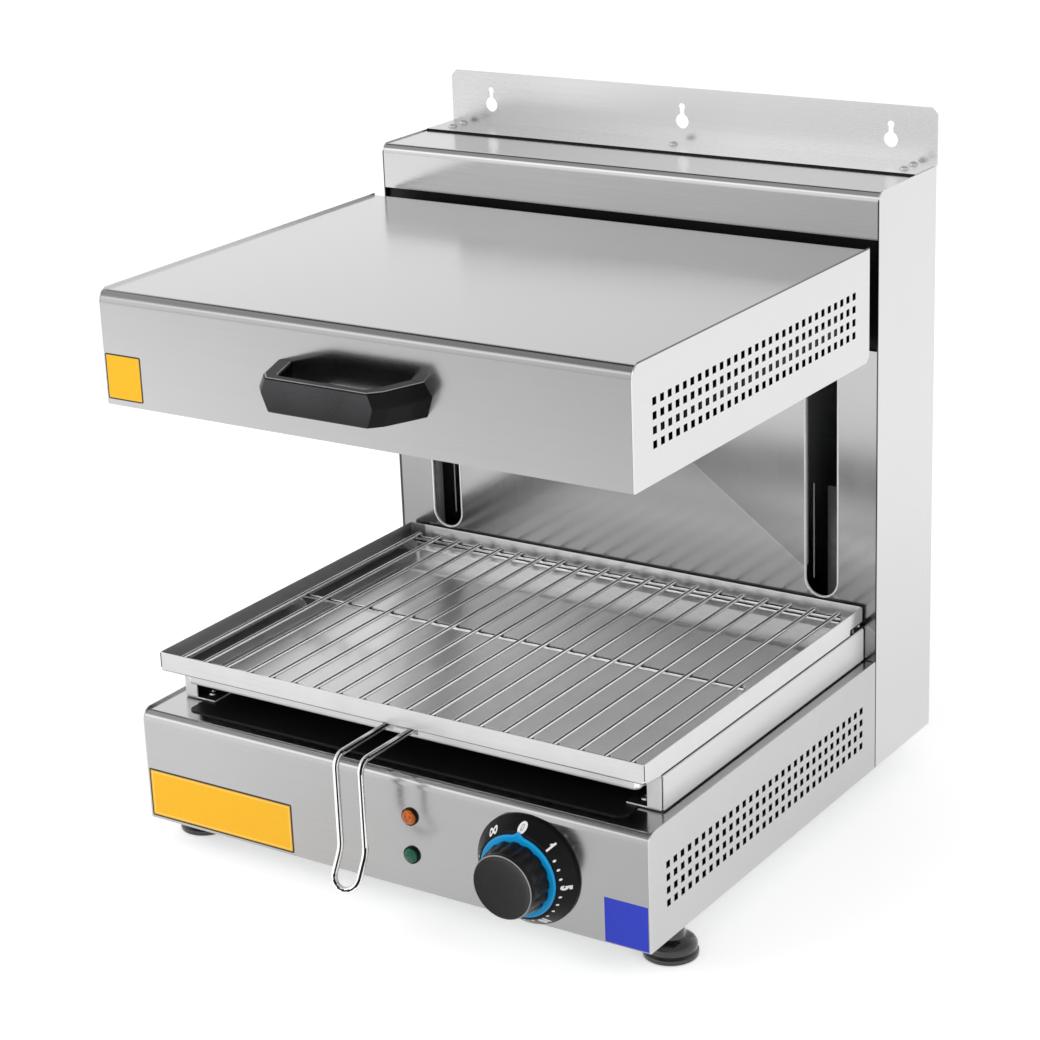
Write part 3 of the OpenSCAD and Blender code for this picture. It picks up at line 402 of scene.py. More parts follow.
# painted highlight: the slots' turned edges near white
slot_rim_highlight_look = material("slot_rim", (0.97, 0.97, 0.97), 0.2, 0.35, across=900, depth=4e-6)
# painted shadow: near-black seam lines at the foot of the tray's side rims and along the runners
seam_shadow_look = material("painted_seam_shadow", (0.012, 0.012, 0.012), 0, 0.6, across=600, depth=1e-5,
                          Specular_IOR_Level=0.1)
# painted shadow: the lowest strip of the tray's front rim dark grey, below its hem
hem_shadow_look = material("tray_hem_shadow", (0.2, 0.2, 0.2), 1, 0.3, across=600, depth=4e-6)
# lit and shaded copies of the tray's one steel, painted light: front faces darker than the sides,
# both darker than the pan's inside
tray_front_look = material("tray_front", (0.62, 0.62, 0.622), 0.9, 0.34, 0.05, grain="x",
                           depth=4e-6, cloud=0.07, cloud_size=30)
tray_side_look = material("tray_side", (0.7, 0.7, 0.702), 1, 0.3, 0.05, grain="y", depth=4e-6,
                          cloud=0.04, cloud_size=25)
# painted reflection: near-black stripes along the grate wires and the bail
wire_dark_reflection_look = material("wire_painted_reflection", (0.012, 0.012, 0.012), 0.6, 0.25, across=900, depth=1e-6,
                          Specular_IOR_Level=0.2)
# painted highlight: a grey band on the handle's upper edge and a grey ring at the knob cap's rim
edge_highlight_look = material("handle_edge_highlight", (0.3, 0.3, 0.305), 0, 0.3, across=1500, depth=5e-6, cloud=0.4,
                     cloud_size=60, Specular_IOR_Level=0.3)
# painted light: the handle's front face a lighter copy of its black plastic, lighter still towards
# its top
front_look = material("handle_front_painted_light", (0.028, 0.028, 0.03), 0, 0.32, across=900, depth=1.2e-5,
                      cloud=0.4, cloud_size=25, Specular_IOR_Level=0.2,
                      tones=(("z", HOOD_Z + 30, HOOD_Z + 54, 0.5, 1.8),))

weld_look = material("weld_tint", (0.1, 0.095, 0.09), 1, 0.35, across=900, depth=3e-5, cloud=0.3,
                     cloud_size=200)
knob_look = material("knob_satin", (0.006, 0.006, 0.0065), 0, 0.27, across=2500, depth=1e-5,
                     cloud=0.15, Specular_IOR_Level=0.28)
print_look = material("dial_print", (0.85, 0.85, 0.85), 0, 0.5, across=1500, depth=5e-6,
                      cloud=0.03)
grey_print_look = material("dial_print_grey", (0.35, 0.36, 0.37), 0, 0.5, across=1500, depth=5e-6)
label_yellow = printed("label_yellow", (0.97, 0.5, 0.0), 0.5, 0.03)
label_pale = printed("label_line", (0.95, 0.72, 0.25))
label_black = printed("label_black", (0.015, 0.014, 0.012))
label_blue = printed("label_blue", (0.008, 0.03, 0.5), 0.5)


def paint_cross_break_light(look, middle_z, rise):
    """Painted light for a cross break on a flat sheet: lighter diagonals, right triangle shaded,
    left lit.
    """
    tree = look.node_tree
    colour = tree.nodes["Principled BSDF"].inputs["Base Color"]
    parts = put(tree, "SeparateXYZ", {0: put(tree, "TexCoord").outputs["Object"]}).outputs
    beside = put(tree, "Math", {0: parts["X"]}, operation="ABSOLUTE").outputs[0]
    above = put(tree, "Math", {0: parts["Z"], 1: at(0, 0, middle_z).z},
                operation="SUBTRACT").outputs[0]
    above = put(tree, "Math", {0: above}, operation="ABSOLUTE").outputs[0]
    run = put(tree, "Math", {0: beside, 1: rise}, operation="MULTIPLY").outputs[0]
    past = put(tree, "Math", {0: run, 1: above}, operation="SUBTRACT").outputs[0]
    place = put(tree, "MapRange", {"Value": past, "From Min": -2 * MM,
                                   "From Max": 58 * MM}).outputs["Result"]
    sides = []
    for line, first, last in ((1.0, 0.66, 0.9), (1.0, 1.0, 0.95)):
        stops = [(0.0, (0.86,) * 3), (1.0, (last,) * 3), (0.02, (0.86,) * 3),
                 (0.03, (line,) * 3), (0.042, (line,) * 3), (0.055, (first,) * 3)]
        sides.append(ramp(tree, place, stops))
    which = put(tree, "MapRange", {"Value": parts["X"], "From Min": -0.1 * MM,
                                   "From Max": 0.1 * MM}).outputs["Result"]
    both = put(tree, "Mix", {"Factor": which, "A": sides[1], "B": sides[0]}, data_type="RGBA")
    base = put(tree, "VectorMath", {0: colour.links[0].from_socket, 1: both.outputs["Result"]},
               operation="MULTIPLY").outputs[0]
    tree.links.new(base, colour)


paint_cross_break_light(column_front_look, 273.3, 0.715)

# ---- CAD nodes


def smooth_group():
    """Geometry nodes that shade smooth below an edge angle, so that the mesh itself stays."""
    group = bpy.data.node_groups.new("smooth_by_angle", "GeometryNodeTree")
    group.interface.new_socket("Geometry", in_out="INPUT", socket_type="NodeSocketGeometry")
    group.interface.new_socket("Geometry", in_out="OUTPUT", socket_type="NodeSocketGeometry")
    start, end = group.nodes.new("NodeGroupInput"), group.nodes.new("NodeGroupOutput")
    faces = group.nodes.new("GeometryNodeSetShadeSmooth")
    edges = group.nodes.new("GeometryNodeSetShadeSmooth")
    edges.domain = "EDGE"
    angle = group.nodes.new("GeometryNodeInputMeshEdgeAngle")
    less = group.nodes.new("FunctionNodeCompare")
    less.operation = "LESS_THAN"
    less.inputs["B"].default_value = math.radians(35)
    link = group.links.new
    link(start.outputs[0], faces.inputs["Geometry"])
    link(faces.outputs[0], edges.inputs["Geometry"])
    link(angle.outputs["Unsigned Angle"], less.inputs["A"])
    link(less.outputs[0], edges.inputs["Shade Smooth"])
    link(edges.outputs[0], end.inputs[0])
    return group


smoother = smooth_group()


def dress(name, look, edge):
    """Gives a CAD node its finish and, by modifiers, soft edges."""
    cad = nodes[name]
    cad.material_slots[0].material = look
    weld = cad.modifiers.new("weld", "WELD")
    weld.merge_threshold = 1e-6
    if edge:
        flat = cad.modifiers.new("flat", "DECIMATE")
        flat.decimate_type = "DISSOLVE"
        flat.angle_limit = math.radians(0.5)
        bevel = cad.modifiers.new("edge", "BEVEL")
        bevel.width = edge * MM
        bevel.segments = 2
        bevel.limit_method = "ANGLE"
        bevel.angle_limit = math.radians(35)
    smooth = cad.modifiers.new("smooth", "NODES")
    smooth.node_group = smoother
    normals = cad.modifiers.new("normals", "WEIGHTED_NORMAL")
    normals.keep_sharp = True


slot_of = {n: o.data.materials[0].name.split(".")[0] for n, o in nodes.items()}
special = {"column_front": column_front_look, "column_side_right": upright_look,
           "column_side_left": upright_look, "wall_bracket": bracket_look,
           "hood_shell": hood_look, "base_shell": base_look, "column_top": cap_look,
           "hood_side_right": hood_side_look, "hood_side_left": hood_left_look,
           "base_side_right": base_side_look, "base_side_left": base_side_look}
# width of each node's softened edges, in mm
edge_widths = {
    0.2: "deck_plate",
    0.25: "base_side_right base_side_left hood_side_right hood_side_left column_top column_back",
    0.3: "base_shell hood_shell column_side_right column_side_left wall_bracket",
    0.35: "column_front",
    0.4: "pulley_bracket",
    0.5: "cross_beam terminal_block element_terminals stop_collars",
    0.6: "slide_blocks lift_arms rod_holders",
    0.8: "timer_case",
    1.0: "counterweight"}
width_of = {name: width for width, names in edge_widths.items() for name in names.split()}
for name in nodes:
    dress(name, special.get(name, looks[slot_of[name]]), width_of.get(name, 0.0))

# ---- hood handle


def handle_ring(foot, face, front, inner_in, z):
    """One level of the bridge handle, seen from above; its feet stay on the hood's front."""
    outer = [(-foot, 0), (-face - 8, -front + 8.5), (-face, -front), (face, -front),
             (face + 8, -front + 8.5), (foot, 0)]
    outer = [tuple(p) for p in fillet(outer, [0, 6, 0.8, 0.8, 6, 0], 4)]
    inner = [(50, 0), (38.5, -31), (-38.5, -31), (-50, 0)]
    inner = [tuple(p) for p in fillet(inner, [0, 6, 6, 0], 4)]
    inner = inset(inner, inner_in, closed=False)
    loop = outer + inner
    return [(u, HOOD_Y + min(v, 0.0), HOOD_Z + z) for u, v in loop]


handle = Shape()
levels = [(62.6, 40.9, 38.4, 1.6, 29.5), (63.2, 41.7, 39.2, 0.8, 29.9),
          (63.6, 42.2, 39.6, 0.4, 30.8), (67.7, 46.4, 40, 0, 42.2), (68.0, 46.7, 40, 0, 43.6),
          (67.7, 46.4, 40, 0, 45.0), (62.4, 42.9, 39.6, 0.3, 53.2), (61.8, 42.3, 39.0, 0.8, 54.1),
          (61.0, 41.6, 38.3, 1.5, 54.5)]
# the first number picks the handle level painted as highlight
HIGHLIGHT_LEVEL, GRIP_FRONT = 7, 39.1
rings = [handle_ring(*level) for level in levels]
for k in range(len(rings) - 1):
    handle.rings(rings[k:k + 2], 1 if k == HIGHLIGHT_LEVEL else 0, caps=(k == 0, False))
handle.rings(rings[-1:], caps=(False, True))
# the grip's front faces take the painted-light front finish
for i, f in enumerate(handle.faces):
    ys = [handle.verts[j][1] for j in f]
    if len(f) == 4 and max(ys) < HOOD_Y - GRIP_FRONT and handle.numbers[i] == 0:
        handle.numbers[i] = 2
build("handle_grip", handle, [looks["black_plastic"], edge_highlight_look, front_look], "hood",
      ("hood_handle",), sharp=28)

# ---- knob, dial and lamps


def on_timer(u, v, out):
    """u to the right, v up, out towards the user from the front panel."""
    return (TIMER_X + u, -out, TIMER_Z + v)


def fluted(r, depth):
    """Round outline with soft flutes."""
    flutes, points = 16, 160
    loop = []
    for i in range(points):
        a = 2 * math.pi * i / points
        wave = 0.5 + 0.5 * math.cos(flutes * a)
        loop.append(((r - depth * (1 - wave) ** 2) * math.sin(a),
                     (r - depth * (1 - wave) ** 2) * math.cos(a)))
    return loop


DIAL_R, DIAL_RIM, DIAL_FACE, DIAL_OUT = 42.0, 3.0, 33.5, 13.5


def cone_out(r):
    """Height of the dial's numbered cone at a radius."""
    slope = (DIAL_OUT - DIAL_RIM) / (DIAL_R - DIAL_FACE)
    return min(DIAL_OUT, DIAL_RIM + (DIAL_R - r) * slope)


dial = Shape()
lathe(dial, [(0, 0), (41.6, 0), (DIAL_R, 0.4), (DIAL_R, 2.3), (41.7, 3.1), (40.9, 4.1),
             (34.2, 12.4), (33.4, 13.2), (32.6, 13.5), (6, 13.5), (0, 13.5)], on_timer, 120)
build("dial_body", dial, looks["black_plastic"], "chassis", ("dial",), sharp=30)

knob = Shape()
skirt = [(26.6, 15.3, 0.9), (27.2, 16.2, 1.2), (27.0, 18, 1.4), (26.1, 25, 1.3), (25.5, 29, 0.8),
         (24.7, 30.3, 0.2), (24.5, 30.8, 0), (24.6, 31.6, 0), (24.6, 33.4, 0), (24.3, 34.4, 0),
         (23.6, 34.95, 0), (22.9, 34.9, 0), (22.2, 34.45, 0), (19, 33.65, 0), (15, 32.9, 0),
         (10, 32.25, 0), (5, 31.9, 0), (0.01, 31.8, 0)]
rings = [[on_timer(u, v, 14.05) for u, v in fluted(20.0, 0)]]
rings += [[on_timer(u, v, 15.3) for u, v in fluted(20.0, 0)]]
rings += [[on_timer(u, v, out) for u, v in fluted(r, cut)] for r, out, cut in skirt]
knob.rings(rings[:12], caps=(True, False))
# the cap's rim ring: painted highlight
knob.rings(rings[11:13], 1, caps=(False, False))
knob.rings(rings[12:], caps=(False, True))
build("knob_body", knob, [knob_look, edge_highlight_look], "knob", ("knob_cap",), sharp=50)


def ring_outline():
    """Circle with a pointed tip at the top."""
    r, tip = 31.2, 3.4
    loop = []
    for i in range(120):
        a = 2 * math.pi * i / 120
        near = min(a, 2 * math.pi - a)
        reach = tip * max(0, 1 - near / math.radians(7.5))
        b = a - math.radians(3)
        loop.append((-(r + reach) * math.sin(b), (r + reach) * math.cos(b)))
    return loop


pointer = Shape()
outline = ring_outline()
inner_loop = [(u * 20.06 / math.hypot(u, v), v * 20.06 / math.hypot(u, v)) for u, v in outline]
steps = [(0, 14.0), (0, 14.9), (0.35, 15.5), (0.9, 15.8)]
rings = [[on_timer(u, v, out) for u, v in inset(outline, d)] for d, out in steps]
rings = [[on_timer(u, v, 14.0) for u, v in inner_loop]] + rings
rings += [[on_timer(u, v, 15.25) for u, v in inner_loop]]
rings += [rings[0]]
pointer.rings(rings, caps=(False, False))
build("pointer_disc", pointer, looks["blue_plastic"], "knob", ("pointer_ring",),
      sharp=30)


MARK_ROOT, MARK_LIFT = -0.3, 0.12


def on_cone(angle, radius, u, v, lift):
    """Point of a mark: u sideways, v outward from its place on the dial's cone."""
    a = math.radians(angle)
    x = radius * math.sin(a) + u * math.cos(a) + v * math.sin(a)
    z = radius * math.cos(a) - u * math.sin(a) + v * math.cos(a)
    return on_timer(x, z, cone_out(math.hypot(x, z)) + lift)


def glyphs(shape, words, size, angle, radius, weight, number=0, lift=MARK_LIFT):
    """Text as a thin raised mesh on the cone."""
    curve = bpy.data.curves.new("glyphs", "FONT")
    curve.body = words
    curve.align_x, curve.align_y = "CENTER", "CENTER"
    curve.size = size
    curve.offset = weight * size
    curve.resolution_u = 4
    drawn = bpy.data.objects.new("glyphs", curve)
    scene.collection.objects.link(drawn)
    bpy.context.view_layer.update()
    flat = bpy.data.meshes.new_from_object(drawn.evaluated_get(
        bpy.context.evaluated_depsgraph_get()))
    bpy.data.objects.remove(drawn)
    bm = bmesh.new()
    bm.from_mesh(flat)
    bmesh.ops.remove_doubles(bm, verts=bm.verts, dist=1e-4)
    bm.verts.index_update()
    n = len(bm.verts)
    verts = [on_cone(angle, radius, v.co.x, v.co.y, out) for out in (lift, MARK_ROOT)
             for v in bm.verts]
    top = [[v.index for v in f.verts] for f in bm.faces]
    rim = [[v.index for v in e.verts] for e in bm.edges if e.is_boundary]
    shape.add(verts, top + [[n + i for i in f[::-1]] for f in top]
              + [[a, b, n + b, n + a] for a, b in rim], number)
    bm.free()
    bpy.data.meshes.remove(flat)
    bpy.data.curves.remove(curve)


def spot(shape, angle, radius, r):
    """Round raised dot on the cone."""
    loop = circle(r, 20)
    shape.rings([[on_cone(angle, radius, u * wide, v * wide, out) for u, v in loop]
                 for wide, out in ((1, MARK_ROOT), (1, MARK_LIFT * 0.7), (0.9, MARK_LIFT))])


def ribbon_eight(shape, angle, radius, width, height, stroke):
    """The endless sign as a raised band."""
    n = 64
    middle = []
    for i in range(n):
        t = 2 * math.pi * i / n
        middle.append(Vector((width / 2 * math.sin(t), height / 2 * math.sin(2 * t))))
    rings = []
    for i, p in enumerate(middle):
        along = (middle[(i + 1) % n] - middle[i - 1]).normalized()
        off = Vector((-along.y, along.x)) * stroke / 2
        a, b = p + off, p - off
        rings.append([on_cone(angle, radius, *place) for place in
                      ((a.x, a.y, MARK_ROOT), (a.x, a.y, MARK_LIFT), (b.x, b.y, MARK_LIFT),
                       (b.x, b.y, MARK_ROOT))])
    rings.append(rings[0])
    shape.rings(rings, caps=(False, False))


marks = Shape()
DOT_STEP, DOTS_R = 11.65, 34.5
spot(marks, 4, 36.2, 3.3)
glyphs(marks, "0", 5.2, 4, 36.2, 0.0, number=1, lift=0.2)
ribbon_eight(marks, -37.5, 35.6, 7.2, 3.5, 1.2)
for words, angle, number_r in (("1", 44, 36.4), ("5", 93.5, 36.6), ("10", 152, 36.8),
                               ("15", 210.3, 36.8)):
    glyphs(marks, words, 7.0, angle, number_r, 0.06)
flag = [(-0.1, 1.0), (0.55, 2.35), (-0.35, 2.35), (-1.9, 1.15), (-1.9, 0.35)]
marks.rings([[on_cone(44, 36.4, u, v, out) for u, v in flag] for out in (MARK_ROOT, MARK_LIFT)])
for k in range(-8, 12):
    if k not in (-5, 0, 5):
        spot(marks, 152 + k * DOT_STEP, DOTS_R, 0.8)
build("dial_marks", marks, [print_look, grey_print_look], "chassis", sharp=30)

LAMP_X, LAMP_Z, FACETS = 24.8, {"orange": 58.3, "green": 27.8}, 12
lens_profile = [(5.0, -23.9, 0), (5.0, 0.2, 0), (6.0, 0.3, 0), (6.0, 1.7, 0), (5.5, 2.9, 0),
                (4.3, 3.7, 0.5), (2.8, 4.3, 0), (1.3, 4.55, 0.5), (0.01, 4.6, 0)]
bezel_profile = [(6.05, 0.0), (6.7, 0.0), (6.8, 0.3), (6.75, 1.2), (6.55, 1.9), (6.3, 2.1),
                 (6.1, 1.9), (6.05, 1.6), (6.05, 0.0)]
bezels = Shape()
for colour, z in LAMP_Z.items():
    lens, slot = Shape(), colour + "_lens"
    lens.rings([[(LAMP_X + u, -out, z + v) for u, v in circle(r, FACETS, turn * math.pi / FACETS)]
                for r, out, turn in lens_profile])
    build("lamp_" + slot, lens, looks[slot], "chassis", ("lamp_" + colour,), sharp=4)
    bezels.rings([[(LAMP_X + u, -out, z + v) for u, v in circle(r, 40)]
                  for r, out in bezel_profile], caps=(False, False))
build("lamp_rims", bezels, looks["black_plastic"], "chassis", ("lamp_bezels",),
      sharp=30)

# ---- labels, left blank


def label(name, x0, x1, z0, z1, face_y, bands, body, corner=1.4):
    """Thin plate on a front face: bands of (inset, material) from the edge inward."""

    def level(amount, out):
        corners = [(x0 + amount, z0 + amount), (x1 - amount, z0 + amount),
                   (x1 - amount, z1 - amount), (x0 + amount, z1 - amount)]
        return [(u, face_y - out, v) for u, v in
                fillet(corners, max(0.3, corner - amount), CORNER_POINTS - 1, closed=True)]

    shape = Shape().rings([level(0, 0), level(0, 0.14), level(0.06, 0.2)], caps=(True, False))
    starts = [max(start, 0.06) for start, _ in bands]
    for i, start in enumerate(starts):
        if i + 1 < len(starts):
            shape.rings([level(start, 0.2), level(starts[i + 1], 0.2)], i, caps=(False, False))
        else:
            shape.add(level(start, 0.2), [list(range(4 * CORNER_POINTS))], i)
    build(name, shape, [look for _, look in bands], body, sharp=30)


label("hood_label", -223.2, -190, 341.4, 376, HOOD_Y,
      [(0, label_black), (1.1, label_yellow)], "hood")
label("base_label", -223.2, -85, 2, 42, 0,
      [(0, label_black), (1.4, label_yellow), (2.6, label_pale), (3.1, label_yellow)], "chassis")
label("corner_label", 188, 223.2, 0.9, 35.3, 0, [(0, label_blue)], "chassis", corner=0.4)

# ---- feet

COLUMN_BACK, FOOT_H = 445.0, 25
foot_profile = [(0, 0), (19.4, 0), (20.2, 0.7), (20.3, 1.6), (20.3, 3.0), (19.9, 3.8), (19.0, 4.2),
                (18.5, 4.6), (18.6, 5.3), (19.2, 6.3), (19.5, 7.8), (19.3, 9.5), (18.4, 11.2),
                (16.6, 12.8), (14.0, 14.1), (11.7, 14.8), (10.8, 15.5), (10.5, 16.8), (10.4, 24.0),
                (10.0, 24.45), (4, 24.5), (4, 40.8), (3.6, 41), (0, 41)]
for name, x, y in (("foot_front_right", 212, 48), ("foot_front_left", -212, 48),
                   ("foot_rear_right", 140, COLUMN_BACK - 36),
                   ("foot_rear_left", -140, COLUMN_BACK - 36)):
    foot = lathe(Shape(), foot_profile, lambda u, v, h: (x + u, y + v, h - FOOT_H), 64)
    build(name + "_turned", foot, looks["black_rubber"], name, (name,), sharp=35)

# ---- screws


def cross_head(shape, x, y, z, turn):
    """Domed head with a cross recess, its shank below."""
    r, h, n = 3.6, 2.0, 32
    arm, wide = 0.58 * r, 0.16 * r
    plus = []
    for q in range(4):
        c, s = math.cos(turn + q * math.pi / 2), math.sin(turn + q * math.pi / 2)
        for u, v in ((arm, -wide), (arm, wide), (wide * 1.15, wide * 1.15)):
            plus.append((u * c - v * s, u * s + v * c))

    loops = [[(x + u, y + v, z - 6) for u, v in circle(1.95, n)],
             [(x + u, y + v, z) for u, v in circle(1.95, n)]]
    for radius, up in ((r, 0), (r, 0.5), (0.93 * r, 1.2), (0.72 * r, 1.75)):
        loops.append([(x + u, y + v, z + up * h / 2) for u, v in circle(radius, n)])
    shape.rings(loops, caps=(True, False))
    # annulus from the round edge to the cross, then the cross sunk
    bm = bmesh.new()
    outer = [bm.verts.new((u, v, 1.75 * h / 2)) for u, v in circle(0.72 * r, n)]
    top = [bm.verts.new((u, v, 1.0 * h)) for u, v in plus]
    edges = [bm.edges.new((outer[i], outer[(i + 1) % n])) for i in range(n)]
    edges += [bm.edges.new((top[i], top[(i + 1) % 12])) for i in range(12)]
    bmesh.ops.triangle_fill(bm, edges=edges, use_beauty=True)
    inside = [f for f in bm.faces if all(v in top for v in f.verts)]
    bmesh.ops.delete(bm, geom=inside, context="FACES_ONLY")
    bm.verts.index_update()
    shape.add([(x + v.co.x, y + v.co.y, z + v.co.z) for v in bm.verts],
              [[v.index for v in f.verts] for f in bm.faces])
    bm.free()
    shape.rings([[(x + u, y + v, z + h) for u, v in plus],
                 [(x + 0.8 * u, y + 0.8 * v, z + 0.25 * h) for u, v in plus]], caps=(False, True))


screw_shape = Shape()
BRACKET_Y, BRACKET_X = COLUMN_BACK + 5, HALF_OUT - 1.3
for k, (sx, edge) in enumerate(((-1, 26), (-1, 10), (0, 16), (1, 26), (1, 10))):
    cross_head(screw_shape, sx * (BRACKET_X - 16), BRACKET_Y - edge, COLUMN_H + 1.5, 0.4 + k)
RUNNER_SCREW_X = HALF_OUT - 10.6 - 20
for k, (sx, y) in enumerate(((1, 48), (1, 326), (-1, 48), (-1, 326))):
    cross_head(screw_shape, sx * RUNNER_SCREW_X, y, DECK_Z + 1.2, 0.2 + k)
build("cross_screws", screw_shape, looks["fastener"], "chassis", ("screws",), sharp=38)

# ---- tray

RIM_X, PAN_X, PAN_Z, RIM_TOP = 214.5, 200.5, TRAY_Z - 10, TRAY_Z + 18
TRAY_BACK = TRAY_Y + TRAY_D
LEDGE = 13
NOTCH = (16.0, 6.0)


def rim_low(x, y):
    """Lower edge of the rim: higher at the front, cut away at the rear corners."""
    if y < TRAY_Y + 3:
        return 119.6
    if y > TRAY_BACK - 22 and abs(x) > RIM_X - 2.5:
        return TRAY_Z + 4.5
    return TRAY_Z


def tray_loop(out, z, radius=1.5, pan=False):
    """Rounded rectangle, out from the pan's or the rim's outer face; z may follow the rim."""
    x = (PAN_X if pan else RIM_X) + out
    y0 = TRAY_Y + (LEDGE if pan else 0) - out
    y1 = TRAY_BACK - (LEDGE if pan else 0) + out
    loop = [(u, y0) for u in (-190, -NOTCH[0], -NOTCH[1], NOTCH[1], NOTCH[0], 190)]
    corners = [(x, y0), (x, y1), (-x, y1), (-x, y0)]
    ring = fillet(corners, radius, CORNER_POINTS - 1, closed=True)
    side = (TRAY_Y + 22, TRAY_BACK - 22.1, TRAY_BACK - 21.9)
    for k in range(4):
        loop += [tuple(p) for p in ring[CORNER_POINTS * k:CORNER_POINTS * (k + 1)]]
        if k == 0:
            loop += [(x, v) for v in side]
        if k == 2:
            loop += [(-x, v) for v in side[::-1]]
    return [(u, v, z + (rim_low(u, v) if z < 10 else 0)) for u, v in loop]


tray = Shape()
tray_rings = [tray_loop(*ring) for ring in (
    # outside, from the floor up over the ledge to the rim
    (-1.2, PAN_Z, 3, True), (-0.3, PAN_Z + 0.35, 4, True), (0, PAN_Z + 1.2, 4, True),
    (0, PAN_Z + 2.5, 4, True), (0, PAN_Z + 4.3, 4, True), (0, TRAY_Z, 4, True), (-1.3, 0),
    (-0.45, 0.25), (0, 1.0), (0, 1.9), (0, RIM_TOP - 0.6), (-0.18, RIM_TOP - 0.15),
    # inside, back down to the floor
    (-0.5, RIM_TOP), (-0.82, RIM_TOP - 0.15), (-1, RIM_TOP - 0.6, 1), (-1, 2.4, 1),
    (-2, 1.1, 1), (-0.6, TRAY_Z + 1, 3.5, True), (-1, TRAY_Z + 0.5, 3, True),
    (-1, PAN_Z + 4.3, 3, True), (-1, PAN_Z + 2.5, 3, True), (-1, PAN_Z + 2, 3, True),
    (-1.4, PAN_Z + 1.25, 3, True), (-2.2, PAN_Z + 1, 3, True))]
tray.rings(tray_rings)
per = len(tray_rings[0])
openings = {(k, i) for k in (4, 18) for i in (1, 2, 3)} | {(k, i) for k in (3, 19) for i in (1, 3)}
tray.faces = [f for n, f in enumerate(tray.faces) if divmod(n, per) not in openings]
# jambs of the openings: outer ring number and the inner ring behind it
behind = {3: 20, 4: 19, 5: 18}
for (ring_a, i_a), (ring_b, i_b) in (((5, 1), (5, 4)), ((5, 1), (3, 1)), ((5, 4), (3, 4)),
                                     ((3, 1), (3, 2)), ((3, 3), (3, 4)), ((4, 2), (4, 3)),
                                     ((3, 2), (4, 2)), ((3, 3), (4, 3))):
    line = [(ring_a, i) for i in range(i_a, i_b + 1)] if ring_a == ring_b else \
        [(r, i_a) for r in range(min(ring_a, ring_b), max(ring_a, ring_b) + 1)]
    for (r0, i0), (r1, i1) in zip(line, line[1:]):
        tray.faces.append([r0 * per + i0, r1 * per + i1, behind[r1] * per + i1,
                           behind[r0] * per + i0])
TRAY_SHEET, TRAY_WELD, TRAY_FRONT, TRAY_HEM_SHADOW, TRAY_SEAM_SHADOW, TRAY_SIDE = range(6)
tray.numbers = []
for face in tray.faces:
    middle = sum((Vector(tray.verts[j]) for j in face), Vector()) / len(face)
    up = middle.z - rim_low(middle.x, middle.y)
    if middle.y < TRAY_Y + 0.4 and abs(middle.x) < RIM_X - 0.7:
        # the lowest 0.9 mm of the front rim: painted shadow
        tray.numbers.append(TRAY_HEM_SHADOW if up < 0.9 else TRAY_FRONT)
    # the foot of each side rim: painted shadow above the runner
    elif abs(middle.x) > RIM_X - 1 and up < 1.7:
        tray.numbers.append(TRAY_SEAM_SHADOW)
    elif abs(middle.x) > RIM_X - 0.3:
        tray.numbers.append(TRAY_SIDE)
    elif abs(middle.y - TRAY_Y - LEDGE) < 0.4 and middle.z < TRAY_Z:
        tray.numbers.append(TRAY_FRONT)
    else:
        tray.numbers.append(TRAY_SHEET)
step_y = TRAY_BACK - LEDGE - 1
tray.rings([[(x, step_y - 26, PAN_Z + 0.9), (x, step_y - 24, PAN_Z + 2.5), (x, step_y, PAN_Z + 2.5),
             (x, step_y, PAN_Z + 0.9)] for x in (-PAN_X + 1, PAN_X - 1)])
TAB_X = 198.6
for y in (TRAY_Y + 12, TRAY_Y + 163, TRAY_BACK - 12.2):
    for side in (-1, 1):
        outline = [(TAB_X, 1), (RIM_X - 1, 1), (RIM_X - 1, 7.9), (TAB_X + 5, 7.9),
                   (TAB_X + 1.5, 6.9), (TAB_X, 5.5)]
        tray.rings([[(side * u, v, TRAY_Z + w) for u, w in outline] for v in (y - 3, y - 2)],
                   TRAY_FRONT)
for side in (-1, 1):
    corner = (side * (RIM_X - 0.35), TRAY_Y + 0.35)
    tube(tray, [(*corner, z) for z in (122.5, 127, 131, 134.3)], 0.42, 8, TRAY_WELD)
build("tray_pressed", tray, [looks["tray_sheet"], weld_look, tray_front_look, hem_shadow_look,
                             seam_shadow_look, tray_side_look], "tray", ("tray",),
      sharp=32)

# looped wire handle, hooked behind the pan's front wall
BAIL_X, BAIL_Z, BAIL_Y, BAIL_LOW, BAIL_R, FLARE = 11.0, TRAY_Z - 4, -37.0, 47.0, 2.4, 29.0
lean = math.radians(FLARE)
down = Vector((0, -math.sin(lean), -math.cos(lean)))
knee = Vector((BAIL_X, BAIL_Y, BAIL_LOW - 20 * math.tan(lean / 2)))
tip = knee + down * (20 * math.tan(lean / 2) + 13)
half = fillet([(20, 31.5, BAIL_Z), (BAIL_X, 31.5, BAIL_Z), (BAIL_X, BAIL_Y, BAIL_Z), tuple(knee),
               tuple(tip)], [0, 3.4, 9, 20, 0], 8)
turn = [Vector((BAIL_X * math.cos(a), tip.y, tip.z)) + down * BAIL_X * math.sin(a)
        for a in (math.pi * k / 16 for k in range(1, 16))]
bail = tube(Shape(), half + turn + [Vector((-p.x, p.y, p.z)) for p in half[::-1]], BAIL_R, 24,
            bands=((-0.4, 0.25, 1), (-1, -0.93, 1)))
build("tray_bail", bail, [looks["bright_wire"], wire_dark_reflection_look], "tray",
      ("tray_handle",), sharp=60)

# runners: side wall, top, end flap and foot of one bent sheet each, open at the front corner
RUN_X, RUN_TOP, RUN_Y, RUN_BACK, SHEET = 214.4, 116.7, 38.0, 346.0, 1.2


